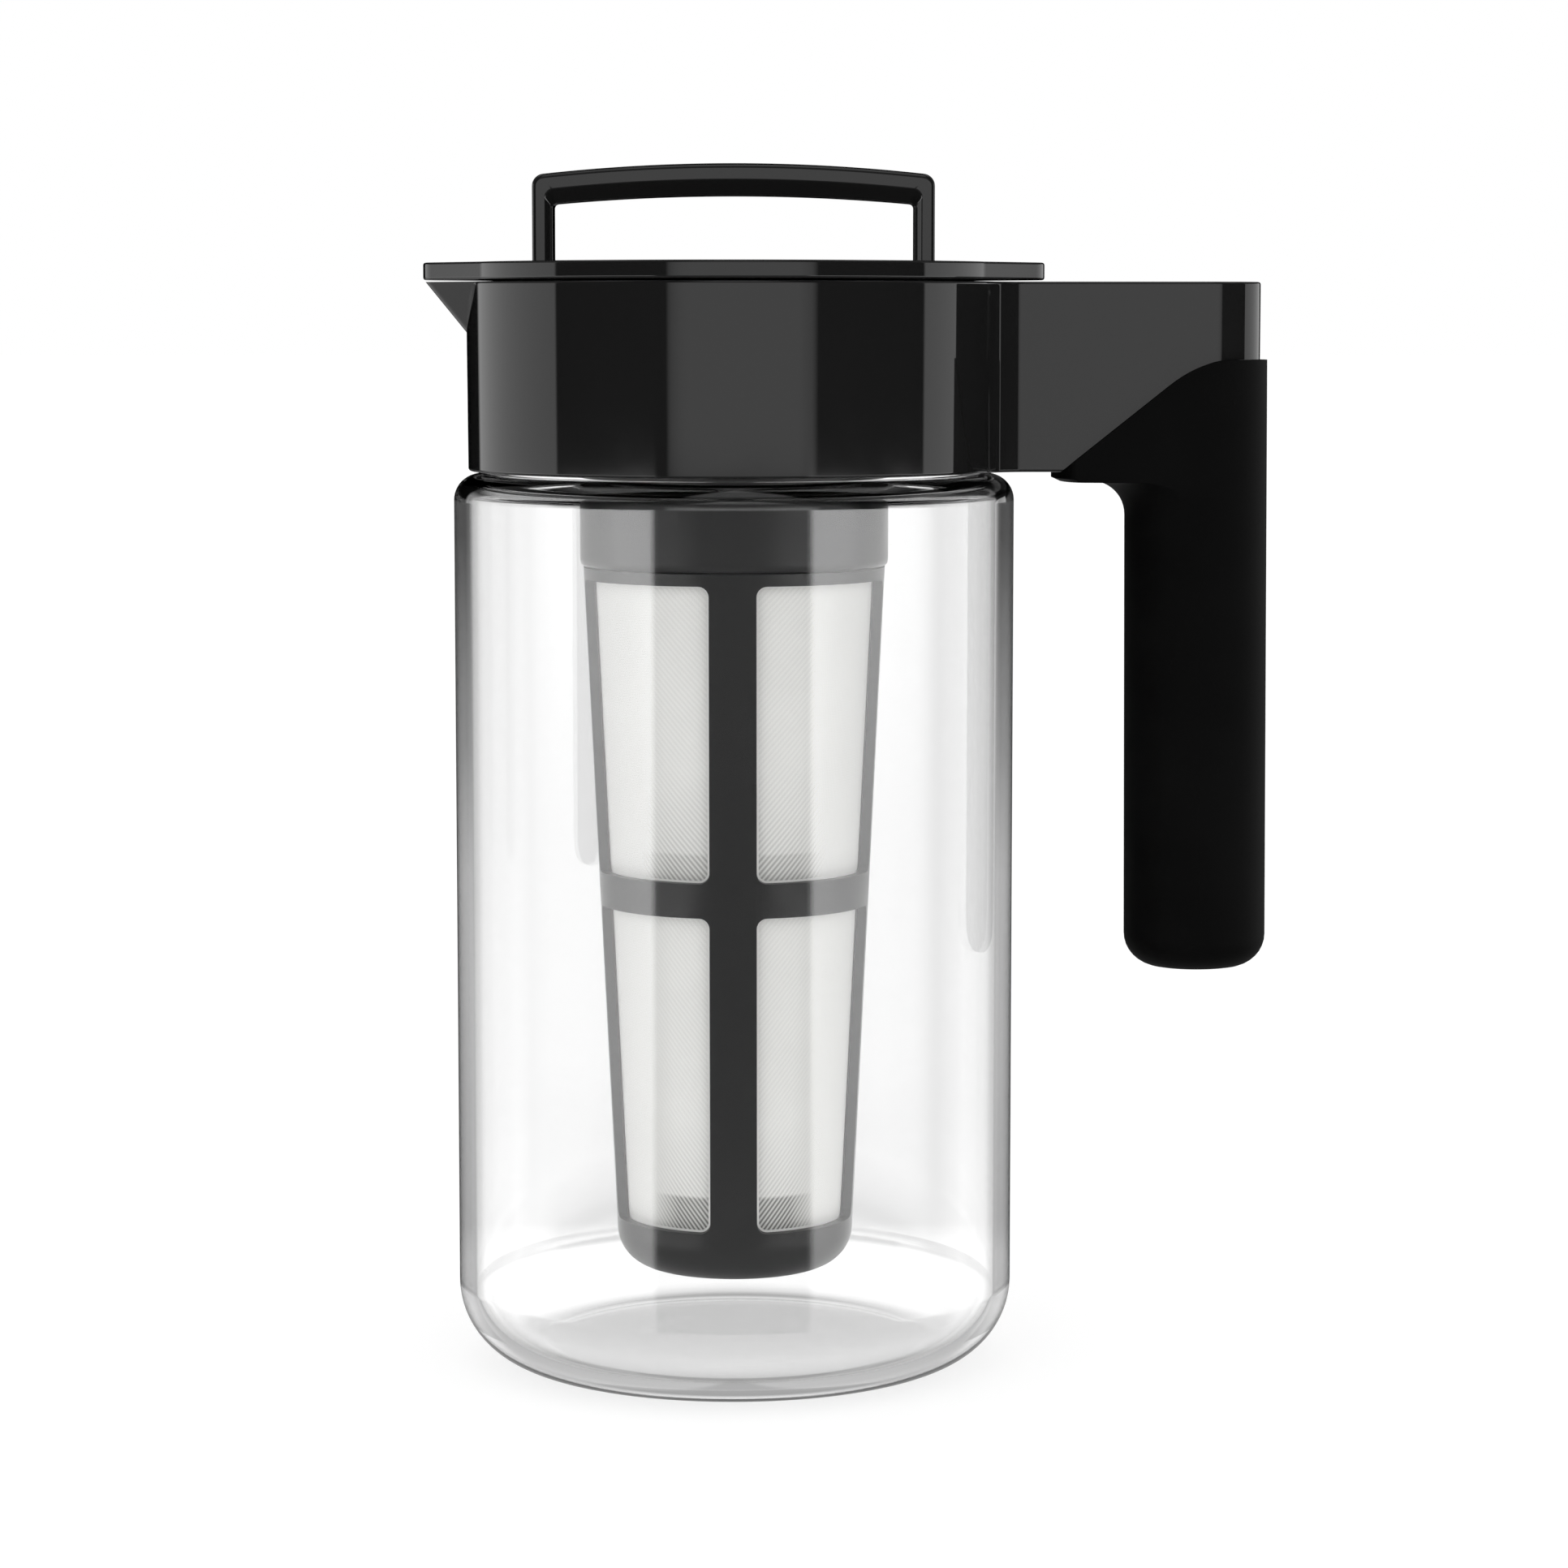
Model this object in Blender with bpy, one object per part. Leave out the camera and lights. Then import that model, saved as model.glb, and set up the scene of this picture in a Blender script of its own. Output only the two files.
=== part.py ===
"""Cold brew coffee maker: a clear jug with a black collar, a turning lid and a twist-in infuser.

Every size is in millimetres in the names below and becomes metres when it is built.
The origin is the middle of the jug's flat base, +Z is up, the spout points to -X and
the handle to +X.
"""
import math

import bmesh
import bpy
from mathutils import Vector

MM = 0.001
FIT = 0.3                      # gap left between pieces that touch on the real product

# Jug
JUG_RADIUS = 50.0
JUG_WALL = 3.0
JUG_FLOOR = 3.1
JUG_BASE_CORNER = 12.2
JUG_INNER_CORNER = 8.2          # between the inside wall and the floor
JUG_SHOULDER_CORNER = 4.6
JUG_SHOULDER_Z = 160.4
NECK_WALL = 2.6
NECK_RISE = 16.0
NECK_RIM = 0.8                 # rounding of the neck's rim
NECK_BEAD = 0.7                # how far the snap bead on the neck stands out
NECK_BEAD_RISE = 11.0          # from the shoulder to the middle of the bead

# Collar with its spout and handle arm
COLLAR_INSET = 2.4             # the collar is this much slimmer than the jug, all round
COLLAR_DRAFT = 0.2             # and this much slimmer again at its lower edge
COLLAR_LIFT = 0.6              # clear of the shoulder
COLLAR_HEIGHT = 33.4
COLLAR_NECK_WALL = 2.7         # wall of the pocket that the neck goes into
COLLAR_LID_WALL = 3.2          # wall round the lid's plug
COLLAR_EDGE = 0.5
SEAT_FLANGE = 2.0
SEAL_THICKNESS = 1.2
SPOUT_OVERHANG = 7.3           # from the collar to the tip of the spout
SPOUT_DROP = 9.0               # height of the spout's slope
SPOUT_ANGLE = 53.0             # of each cheek from the collar's front
SPOUT_NOSE = 6.0
SPOUT_WALL = 1.6
ARM_LENGTH = 46.2              # from the collar to the end of the arm
ARM_WIDTH = 21.0
ARM_ROOT_FILLET = 8.0

# Handle grip
GRIP_PROUD = 1.3               # the soft sleeve stands out from the arm
GRIP_SKIN = 2.5
GRIP_LENGTH = 109.1
GRIP_DEPTH = 25.4              # front to back of the hand, along X
GRIP_TOP_DROP = 13.7           # from the collar's rim down to the sleeve's top
GRIP_BOTTOM_CORNER = 6.2
GRIP_LIP_GAP = 9.0             # from the collar to the tip of the lip
GRIP_LIP = 1.9                 # how far the lip hangs below the arm
GRIP_LIP_NOSE = 4.0            # length of the lip's rounded end, seen from above
GRIP_LIP_CHAMFER = 0.65        # height of the chamfer under the lip's tip
GRIP_LIP_CHAMFER_RUN = 1.4
GRIP_CROTCH = 6.0              # radius between the lip and the hand
GRIP_FLARE_NOSE = 8.0          # length of the rounded end where the crotch meets the lip
GRIP_LEAN = 0.7                # the lower end stands out by this much
GRIP_SIDE_STEPS = 10
SEAM_CREST = 6.8               # flat stretch of the sleeve's upper edge
SEAM_KNEE_RUN = 11.4           # from there to the straight slope, along and down
SEAM_KNEE_DROP = 4.5
SEAM_FOOT = 1.15               # from the lip's tip to the foot of the slope

# Lid
LID_THICKNESS = 3.1
LID_EDGE = 0.45
TAB_OVERHANG = 7.7             # how far each point stands out from the round cover
TAB_NOSE = 9.0
TAB_SPREAD = 22.0              # degrees from the point's middle to where its cheek leaves the circle
PLUG_CLEARANCE = 0.5
PLUG_PLATE = 1.5
PLUG_SKIRT_WALL = 2.9
POUR_SLOT_WIDTH = 3.2
POUR_SLOT_COUNT = 4
POUR_SLOT_PITCH = 8.0          # degrees between the slots of one group
POUR_SLOT_SILL = 1.2           # from the gasket's groove up to a slot
POUR_SLOT_HEAD = 1.0           # from the plate down to a slot
GASKET_HEIGHT = 2.4
GASKET_DEPTH = 1.2
GASKET_PROUD = 0.25
GASKET_RISE = 0.8              # from the skirt's end up to the groove
SOCKET_WALL = 3.4
SOCKET_DEPTH = 21.0            # from the plate down to the end of the infuser's socket

# Carrying bail on the lid
BAIL_HALF_SPAN = 35.6
BAIL_RISE = 17.4               # from the cover to the top of the loop
BAIL_LEG = 3.6
BAIL_BAR = 5.6
BAIL_LEG_FACE = 2.3            # flat part of a leg before its inner slope
BAIL_BAR_FACE = 2.9
BAIL_WIDTH = 12.0
BAIL_BEVEL_DEPTH = 1.3         # how far the inner slope goes in on each side
BAIL_CROWN = 308.0             # radius of the bar's crown
BAIL_CROWN_LOSS = 40.0         # the bar's underside is flatter by this radius
BAIL_CORNER = 2.2
BAIL_INNER_CORNER = 0.7
BAIL_EDGE = 0.6
BAIL_TENON = 2.0

# Infuser
RING_RADIUS = 27.6
RING_HEIGHT = 27.5             # of the smooth band under the lid's socket
RING_WALL = 2.6
RING_STEP = 0.7
INFUSER_NECK_WALL = 2.6        # of the neck that turns into the lid's socket
LUG_COUNT = 3
LUG_REACH = 1.3
LUG_HEIGHT = 3.0
LUG_RISE = 6.0                 # from the socket's lower end to the underside of a lug
LUG_SPAN = 22.0                # degrees covered by one lug
LUG_TURN = 35.0                # degrees from locked to free
LUG_SLACK = 1.5
LUG_START = 22.0
LUG_ROOT = 0.8                 # how deep a lug is set into the neck
BASKET_STEP = 0.6              # the basket's top is this much slimmer than the ring
BASKET_TAPER = 5.7             # the radius lost from the top to the cup
BASKET_FLOOR_GAP = 14.1        # from the jug's floor to the basket
BASKET_BOTTOM_CORNER = 7.0
BASKET_WALL = 1.7
BASKET_SPIGOT = 6.0
BASKET_LEDGE = 0.9             # thickness of the ledge over the mesh
RIB_WIDTH = 8.2
WINDOW_CORNER = 1.85
WINDOW_TOP_BAND = 2.4          # from the basket's top down to the upper windows
UPPER_WINDOW_HEIGHT = 52.3
WINDOW_MIDDLE_BAND = 6.1
WINDOW_CUP = 9.3               # from the basket's underside up to the lower windows
MESH_THICKNESS = 0.6
MESH_TUCK = 1.6                # the mesh reaches this far below the lowest windows

SEGMENTS = 52                  # facets round the jug, the collar and the lid
INNER_SEGMENTS = 36            # facets round the infuser


def clear_scene():
    """Remove what the file starts with."""
    for old in list(bpy.data.objects):
        bpy.data.objects.remove(old, do_unlink=True)


def paint(name, rgb, roughness, alpha=1.0):
    """A plain Principled material."""
    material = bpy.data.materials.new(name)
    material.use_nodes = True
    shader = material.node_tree.nodes["Principled BSDF"]
    shader.inputs["Base Color"].default_value = (*rgb, 1.0)
    shader.inputs["Roughness"].default_value = roughness
    shader.inputs["Alpha"].default_value = alpha
    return material


def new_object(name, mesh, material=None):
    """Put a mesh in the scene as one object."""
    body = bpy.data.objects.new(name, mesh)
    bpy.context.scene.collection.objects.link(body)
    if material is not None:
        mesh.materials.append(material)
    return body


def mesh_from_bmesh(name, bm, smooth_angle=30.0):
    """Finish a bmesh with outward faces and smooth round sides."""
    bmesh.ops.remove_doubles(bm, verts=bm.verts, dist=1e-6)
    bmesh.ops.recalc_face_normals(bm, faces=bm.faces)
    mesh = bpy.data.meshes.new(name)
    bm.to_mesh(mesh)
    bm.free()
    mesh.shade_smooth()
    mesh.set_sharp_from_angle(angle=math.radians(smooth_angle))
    return mesh


def arc(cx, cy, radius, start, end, steps):
    """Points on a circle from one angle to another, in degrees, both ends included."""
    points = []
    for i in range(steps + 1):
        angle = math.radians(start + (end - start) * i / steps)
        points.append((cx + radius * math.cos(angle), cy + radius * math.sin(angle)))
    return points


def turned(name, profile, segments=SEGMENTS, smooth_angle=30.0):
    """Revolve a closed (radius, height) outline about the Z axis."""
    bm = bmesh.new()
    rings = []
    for radius, z in profile:
        if radius < 1e-6:
            rings.append([bm.verts.new((0.0, 0.0, z * MM))])
            continue
        ring = []
        for i in range(segments):
            angle = 2.0 * math.pi * i / segments
            x = radius * math.cos(angle) * MM
            y = radius * math.sin(angle) * MM
            ring.append(bm.verts.new((x, y, z * MM)))
        rings.append(ring)
    for k, ring in enumerate(rings):
        other = rings[(k + 1) % len(rings)]
        if len(ring) == 1 and len(other) == 1:
            continue
        for i in range(segments):
            j = (i + 1) % segments
            if len(ring) == 1:
                bm.faces.new((ring[0], other[i], other[j]))
            elif len(other) == 1:
                bm.faces.new((ring[i], other[0], ring[j]))
            else:
                bm.faces.new((ring[i], other[i], other[j], ring[j]))
    return mesh_from_bmesh(name, bm, smooth_angle)


def prism(name, outline, low, high, axis="Z", shear=(0.0, 0.0), smooth_angle=30.0):
    """Extrude a closed 2D outline; shear moves the far end sideways."""
    bm = bmesh.new()

    def place(u, v, w):
        if axis == "Z":
            return Vector((u, v, w)) * MM
        if axis == "Y":
            return Vector((u, w, v)) * MM
        return Vector((w, u, v)) * MM

    bottom = [bm.verts.new(place(u, v, low)) for u, v in outline]
    top = [bm.verts.new(place(u + shear[0], v + shear[1], high)) for u, v in outline]
    bm.faces.new(bottom)
    bm.faces.new(top)
    count = len(outline)
    for i in range(count):
        j = (i + 1) % count
        bm.faces.new((bottom[i], bottom[j], top[j], top[i]))
    return mesh_from_bmesh(name, bm, smooth_angle)


def boolean(target, tool, operation):
    """Combine two objects and keep only the first."""
    modifier = target.modifiers.new(operation.title(), "BOOLEAN")
    modifier.operation = operation
    modifier.solver = "EXACT"
    modifier.object = tool
    apply_modifiers(target)
    bpy.data.objects.remove(tool, do_unlink=True)


def apply_modifiers(body):
    """Turn an object's modifiers into its mesh."""
    bpy.context.view_layer.update()
    graph = bpy.context.evaluated_depsgraph_get()
    mesh = bpy.data.meshes.new_from_object(body.evaluated_get(graph), depsgraph=graph)
    body.modifiers.clear()
    old = body.data
    body.data = mesh
    bpy.data.meshes.remove(old)


def bevel(body, width, segments=2, angle=40.0):
    """Round the edges sharper than an angle."""
    modifier = body.modifiers.new("Bevel", "BEVEL")
    modifier.width = width * MM
    modifier.segments = segments
    modifier.limit_method = "ANGLE"
    modifier.angle_limit = math.radians(angle)
    modifier.use_clamp_overlap = True
    apply_modifiers(body)


def dress(body, material, smooth_angle=30.0):
    """Give a finished body its material and shading."""
    body.data.materials.clear()
    body.data.materials.append(material)
    body.data.shade_smooth()
    body.data.set_sharp_from_angle(angle=math.radians(smooth_angle))
    return body


def jug_inner_radius():
    """Inside radius of the jug's straight wall."""
    return JUG_RADIUS - JUG_WALL


def collar_radius():
    """Outside radius of the collar's rim, and of the lid's cover over it."""
    return JUG_RADIUS - COLLAR_INSET


def collar_bore():
    """Inside radius of the collar where the lid's plug goes in."""
    return collar_radius() - COLLAR_LID_WALL


def neck_radius():
    """Outside radius of the jug's neck, inside the collar's pocket."""
    return collar_radius() - COLLAR_NECK_WALL - FIT


def neck_inner_radius():
    """Inside radius of the neck."""
    return neck_radius() - NECK_WALL


def neck_top():
    """Height of the neck's rim."""
    return JUG_SHOULDER_Z + NECK_RISE


def make_jug(material):
    """The clear jug: rounded base, straight wall, tight shoulder and short neck."""
    r, wall, corner = JUG_RADIUS, JUG_WALL, JUG_BASE_CORNER
    inner = jug_inner_radius()
    inner_corner = JUG_INNER_CORNER
    shoulder = JUG_SHOULDER_CORNER
    inner_shoulder = max(shoulder - wall, 0.5)
    ceiling = JUG_SHOULDER_Z - wall
    bead_z = JUG_SHOULDER_Z + NECK_BEAD_RISE
    neck, bore = neck_radius(), neck_inner_radius()
    rim, rim_z = NECK_RIM, neck_top() - NECK_RIM
    root = COLLAR_LIFT
    profile = [(0.0, 0.0)]
    profile += arc(r - corner, corner, corner, -90, 0, 5)
    profile += arc(r - shoulder, JUG_SHOULDER_Z - shoulder, shoulder, 0, 90, 3)
    profile += arc(neck + root, JUG_SHOULDER_Z + root, root, -90, -180, 1)
    profile += [(neck, bead_z - NECK_BEAD), (neck + NECK_BEAD, bead_z), (neck, bead_z + NECK_BEAD)]
    profile += arc(neck - rim, rim_z, rim, 0, 90, 1)
    profile += arc(bore + rim, rim_z, rim, 90, 180, 1)
    profile += [(bore, ceiling + 1.0), (bore + 1.2, ceiling)]
    profile += arc(inner - inner_shoulder, ceiling - inner_shoulder, inner_shoulder, 90, 0, 2)
    profile += arc(inner - inner_corner, JUG_FLOOR + inner_corner, inner_corner, 0, -90, 4)
    profile += [(0.0, JUG_FLOOR)]
    mesh = turned("carafe", profile)
    return dress(new_object("carafe", mesh), material)


def collar_bottom():
    """Height of the collar's lower edge."""
    return JUG_SHOULDER_Z + COLLAR_LIFT


def collar_top():
    """Height of the collar's rim."""
    return collar_bottom() + COLLAR_HEIGHT


def flange_bottom():
    """Underside of the collar's inner flange, above the neck seal."""
    return neck_top() + SEAL_THICKNESS + 2.0 * FIT


def beak_root(reach, nose, angle):
    """How far from the axis a beak's cheeks may start and still lie inside the circle."""
    turn = math.radians(angle)
    return ((reach - nose) * math.sin(turn) + nose) * math.sin(turn)


def beak_outline(reach, nose, angle, direction):
    """A rounded point in plan, running out to reach along +X or -X."""
    centre = reach - nose
    turn = math.radians(angle)
    side_x = centre + nose * math.sin(turn)
    side_y = nose * math.cos(turn)
    root_x = beak_root(reach, nose, angle)
    root_y = side_y + (side_x - root_x) * math.tan(turn)
    points = [(root_x, -root_y)]
    points += arc(centre, 0.0, nose, angle - 90.0, 90.0 - angle, 6)
    points += [(root_x, root_y)]
    return [(direction * x, direction * y) for x, y in points]


def spout_slope():
    """How far the spout leans out for each millimetre of height."""
    return SPOUT_OVERHANG / SPOUT_DROP


def spout_block(name, inset, low, high):
    """The spout's leaning beak; inset makes the smaller one that hollows it."""
    lean = spout_slope() * (high - low)
    reach = collar_radius() + SPOUT_OVERHANG - spout_slope() * (collar_top() - low) - inset
    nose = max(SPOUT_NOSE - inset, 0.8)
    outline = beak_outline(reach, nose, SPOUT_ANGLE, -1.0)
    return new_object(name, prism(name, outline, low, high, shear=(-lean, 0.0)))


def collar_band():
    """The collar as a plain round block; its hollow is cut last."""
    low, top = collar_bottom(), collar_top()
    radius = collar_radius()
    lower = radius - COLLAR_DRAFT
    edge = COLLAR_EDGE
    profile = [(0.0, low)]
    profile += arc(lower - edge, low + edge, edge, -90, 0, 2)
    profile += arc(radius - edge, top - edge, edge, 0, 90, 2)
    profile += [(0.0, top)]
    return new_object("collar_housing", turned("collar_housing", profile))


def collar_hollow():
    """The space inside the collar: neck pocket, snap groove, flange hole and lid bore."""
    low, top = collar_bottom() - 2.0, collar_top() + 2.0
    over_neck = neck_radius() + FIT
    bore = collar_bore()
    groove = JUG_SHOULDER_Z + NECK_BEAD_RISE
    seat = flange_bottom()
    edge = COLLAR_EDGE
    profile = [(0.0, low), (over_neck, low)]
    profile += [(over_neck, groove - NECK_BEAD - FIT)]
    profile += [(over_neck + NECK_BEAD, groove - FIT)]
    profile += [(over_neck + NECK_BEAD, groove + FIT)]
    profile += [(over_neck, groove + NECK_BEAD + FIT)]
    profile += [(over_neck, seat)]
    profile += [(neck_inner_radius(), seat)]
    profile += [(neck_inner_radius(), seat + SEAT_FLANGE)]
    profile += [(bore, seat + SEAT_FLANGE)]
    profile += [(bore, collar_top() - edge)]
    profile += [(bore + edge, collar_top())]
    profile += [(bore + edge, top), (0.0, top)]
    return new_object("hollow", turned("hollow", profile))


def arm_bottom():
    """Underside of the handle's arm."""
    return collar_bottom() - 0.05


def grip_width():
    """Side to side width of the grip, along Y."""
    return ARM_WIDTH + 2.0 * GRIP_PROUD


def arm_reach():
    """From the axis to the end of the arm."""
    return collar_radius() + ARM_LENGTH


def grip_outer_x():
    """The grip's outermost line at the top of the hand."""
    return arm_reach() + GRIP_PROUD


def grip_top():
    """Height of the sleeve's upper edge at the end of the arm."""
    return collar_top() - GRIP_TOP_DROP


def grip_bottom():
    """Lowest point of the handle."""
    return grip_top() - GRIP_LENGTH


def lip_x():
    """Where the sleeve's lip begins, nearest the collar."""
    return collar_radius() + GRIP_LIP_GAP


def lip_underside():
    """Lowest face of the sleeve's lip under the arm."""
    return arm_bottom() - GRIP_LIP


def grip_section(z, inner_x, nose, inset):
    """One level outline of the handle: round outside, and a nose of its own length inside."""
    half = 0.5 * grip_width() - inset
    lean = GRIP_LEAN * (grip_top() - z) / GRIP_LENGTH
    radius = 0.5 * GRIP_DEPTH
    outer_centre = grip_outer_x() - radius
    inner_centre = inner_x + inset + nose
    points = []
    for i in range(GRIP_SIDE_STEPS + 1):
        angle = -0.5 * math.pi + math.pi * i / GRIP_SIDE_STEPS
        points.append((outer_centre + (radius - inset) * math.cos(angle), half * math.sin(angle)))
    for i in range(GRIP_SIDE_STEPS + 1):
        angle = 0.5 * math.pi + math.pi * i / GRIP_SIDE_STEPS
        points.append((inner_centre + nose * math.cos(angle), half * math.sin(angle)))
    return [(x + lean, y, z) for x, y in points]


def handle_form(name, inset, high):
    """The handle from its rounded end up past the lip, as one loft of level outlines."""
    inner = grip_outer_x() - GRIP_DEPTH
    low = grip_bottom() + inset
    corner = GRIP_BOTTOM_CORNER - 0.5 * inset
    long_nose = 0.5 * GRIP_DEPTH - inset - 0.2
    short_nose = GRIP_LIP_NOSE
    under = lip_underside() + (GRIP_LIP if inset > 0.0 else 0.0)
    pivot = lip_underside() - GRIP_CROTCH
    rings = []
    for k in range(5):
        angle = math.radians(12.0 + 78.0 * k / 4)
        tuck = corner * (1.0 - math.sin(angle))
        z = low + GRIP_BOTTOM_CORNER * (1.0 - math.cos(angle)) * 0.95
        rings.append(grip_section(z, inner, long_nose - tuck, inset + tuck))
    for k in range(6):
        angle = math.radians(90.0 * k / 5)
        share = k / 5.0
        x = inner - (GRIP_CROTCH + inset) * (1.0 - math.cos(angle))
        z = pivot + (under - pivot) * math.sin(angle)
        nose = long_nose + (GRIP_FLARE_NOSE - long_nose) * share * share
        rings.append(grip_section(z, x, nose, inset))
    tip = lip_x()
    rings.append(grip_section(under + 0.05, tip + GRIP_LIP_CHAMFER_RUN, short_nose, inset))
    rings.append(grip_section(under + 0.05 + GRIP_LIP_CHAMFER, tip, short_nose, inset))
    rings.append(grip_section(high, tip, short_nose, inset))
    bm = bmesh.new()
    rows = [[bm.verts.new(Vector(point) * MM) for point in ring] for ring in rings]
    for lower, upper in zip(rows, rows[1:]):
        count = len(lower)
        for i in range(count):
            j = (i + 1) % count
            bm.faces.new((lower[i], lower[j], upper[j], upper[i]))
    bm.faces.new(rows[0])
    bm.faces.new(rows[-1])
    return new_object(name, mesh_from_bmesh(name, bm))


def seam_points(shift):
    """The soft sleeve's edge on the arm, from the end of the arm down to the lip."""
    far = grip_outer_x() + 4.0
    top = grip_top() + shift
    crest_x = grip_outer_x() - SEAM_CREST
    knee_x = crest_x - SEAM_KNEE_RUN
    knee_z = top - SEAM_KNEE_DROP
    points = [(far, top), (crest_x, top)]
    for i in range(1, 6):
        t = i / 6.0
        points.append((crest_x - SEAM_KNEE_RUN * t, top - SEAM_KNEE_DROP * t * t))
    points += [(knee_x, knee_z), (lip_x() + SEAM_FOOT, arm_bottom() + shift)]
    return points


def sleeve_region(name, shift):
    """All that lies below the sleeve's edge, as a block across the handle."""
    wide = grip_width()
    points = seam_points(shift)
    last = points[-1]
    near, under = lip_x() - 6.0, grip_bottom() - 8.0
    points += [(near, last[1]), (near, under), (points[0][0], under)]
    return new_object(name, prism(name, points, -wide, wide, axis="Y"))


def arm_block():
    """The rigid arm with its full round end, before the sleeve's recess is cut."""
    half = 0.5 * ARM_WIDTH
    root = collar_bore() + 0.5 * COLLAR_LID_WALL
    outline = [(root - 3.0, -half)]
    outline += arc(arm_reach() - half, 0.0, half, -90, 90, 16)
    outline += [(root - 3.0, half)]
    block = new_object("arm", prism("arm", outline, arm_bottom(), collar_top()))
    for side in (-1.0, 1.0):
        boolean(block, arm_fillet(side), "UNION")
    return block


def arm_fillet(side):
    """The concave blend between the collar and one side of the arm."""
    half = 0.5 * ARM_WIDTH
    fillet = ARM_ROOT_FILLET
    radius = collar_radius()
    reach = radius + fillet
    centre_y = half + fillet
    centre_x = math.sqrt(reach * reach - centre_y * centre_y)
    touch_x = centre_x * radius / reach
    touch_y = centre_y * radius / reach
    start = math.degrees(math.atan2(touch_y - centre_y, touch_x - centre_x)) % 360.0
    outline = arc(centre_x, centre_y, fillet, start, 270.0, 6)
    inside = radius - 1.2
    outline += [(centre_x, half - 2.0), (inside * math.cos(0.2), half - 2.0)]
    outline += [(touch_x * inside / radius, touch_y * inside / radius)]
    if side > 0.0:
        points = outline
    else:
        points = [(x, -y) for x, y in outline]
    return new_object("fillet", prism("fillet", points, arm_bottom() + 0.02, collar_top() - 0.02))


def make_collar(material):
    """Collar band, spout, arm and the core inside the grip, in one moulding."""
    collar = collar_band()
    heel = collar_top() - SPOUT_DROP
    boolean(collar, spout_block("spout", 0.0, heel, collar_top() - 0.02), "UNION")
    arm = arm_block()
    boolean(arm, sleeve_region("recess", 0.0), "DIFFERENCE")
    boolean(arm, grip_core("core", 0.0), "UNION")
    boolean(collar, arm, "UNION")
    boolean(collar, collar_hollow(), "DIFFERENCE")
    channel = spout_block("channel", SPOUT_WALL, heel + SPOUT_WALL, collar_top() + 3.0)
    boolean(collar, channel, "DIFFERENCE")
    return dress(collar, material)


def grip_core(name, grow):
    """The hard core that runs down inside the sleeve; grow makes the sleeve's hollow."""
    return handle_form(name, GRIP_SKIN - grow, grip_top() + 3.0 + 10.0 * grow)


def make_grip(material):
    """The soft sleeve moulded over the handle's core."""
    sleeve = handle_form("handle_grip", 0.0, grip_top() + 2.0)
    boolean(sleeve, sleeve_region("below", -FIT), "INTERSECT")
    boolean(sleeve, grip_core("hollow", FIT), "DIFFERENCE")
    return dress(sleeve, material)


def make_neck_seal(material):
    """Flat silicone ring squeezed between the jug's rim and the collar's flange."""
    low = neck_top() + FIT
    inner, outer = neck_inner_radius() + FIT, neck_radius() - 2.0 * FIT
    profile = [(inner, low), (outer, low), (outer, low + SEAL_THICKNESS)]
    profile += [(inner, low + SEAL_THICKNESS)]
    return dress(new_object("neck_seal", turned("neck_seal", profile)), material)


def lid_bottom():
    """Underside of the lid's cover, just above the collar's rim."""
    return collar_top() + FIT


def lid_top():
    """Upper face of the lid's cover."""
    return lid_bottom() + LID_THICKNESS


def lid_outline():
    """The cover in plan: a circle with a rounded point over the spout and one over the arm."""
    radius = collar_radius()
    centre = radius + TAB_OVERHANG - TAB_NOSE
    root = Vector((radius * math.cos(math.radians(TAB_SPREAD)), radius * math.sin(math.radians(TAB_SPREAD))))
    cheek = root - Vector((centre, 0.0))
    turn = math.degrees(math.atan2(cheek.y, cheek.x) - math.acos(TAB_NOSE / cheek.length))
    points = []
    for start in (0.0, 180.0):
        side = math.cos(math.radians(start))
        nose = arc(centre, 0.0, TAB_NOSE, -turn, turn, 6)
        points += [(side * x, side * y) for x, y in nose]
        points += arc(0.0, 0.0, radius, start + TAB_SPREAD, start + 180.0 - TAB_SPREAD, 22)
    return points


def make_lid_cover(material):
    """The round cover with its two points and the sockets for the bail."""
    low, high = lid_bottom(), lid_top()
    cover = new_object("lid_cover", prism("lid_cover", lid_outline(), low, high))
    bevel(cover, LID_EDGE, 2, 60.0)
    for side in (-1.0, 1.0):
        boolean(cover, tenon_block("socket", side, FIT), "DIFFERENCE")
    return dress(cover, material)


def tenon_block(name, side, grow):
    """The short tongue under each leg of the bail; grow makes its socket."""
    inset = BAIL_EDGE
    outer = BAIL_HALF_SPAN - inset + grow
    inner = BAIL_HALF_SPAN - BAIL_LEG + inset - grow
    half = 0.5 * BAIL_WIDTH - BAIL_BEVEL_DEPTH - 0.4 + grow
    low = lid_top() - BAIL_TENON - grow
    outline = [(inner, -half), (outer, -half), (outer, half), (inner, half)]
    outline = [(side * x, side * y) for x, y in outline]
    return new_object(name, prism(name, outline, low, lid_top() + 2.0))


def bail_rail(inset, drop, crown, corner):
    """One lengthwise line of the bail, from the left foot over the top to the right foot."""
    half = BAIL_HALF_SPAN - inset
    top = lid_top() + BAIL_RISE - drop
    centre_z = top - crown
    corner_x = half - corner
    corner_z = centre_z + math.sqrt((crown - corner) ** 2 - corner_x ** 2)
    slope = math.degrees(math.asin(corner_x / (crown - corner)))
    foot = lid_top() + FIT
    left = [(-half, foot)]
    left += arc(-corner_x, corner_z, corner, 180.0, 90.0 + slope, 5)
    sweep = arc(0.0, centre_z, crown, 90.0 + slope, 90.0 - slope, 16)[1:-1]
    right = [(-x, z) for x, z in reversed(left)]
    return left + sweep + right


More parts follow.
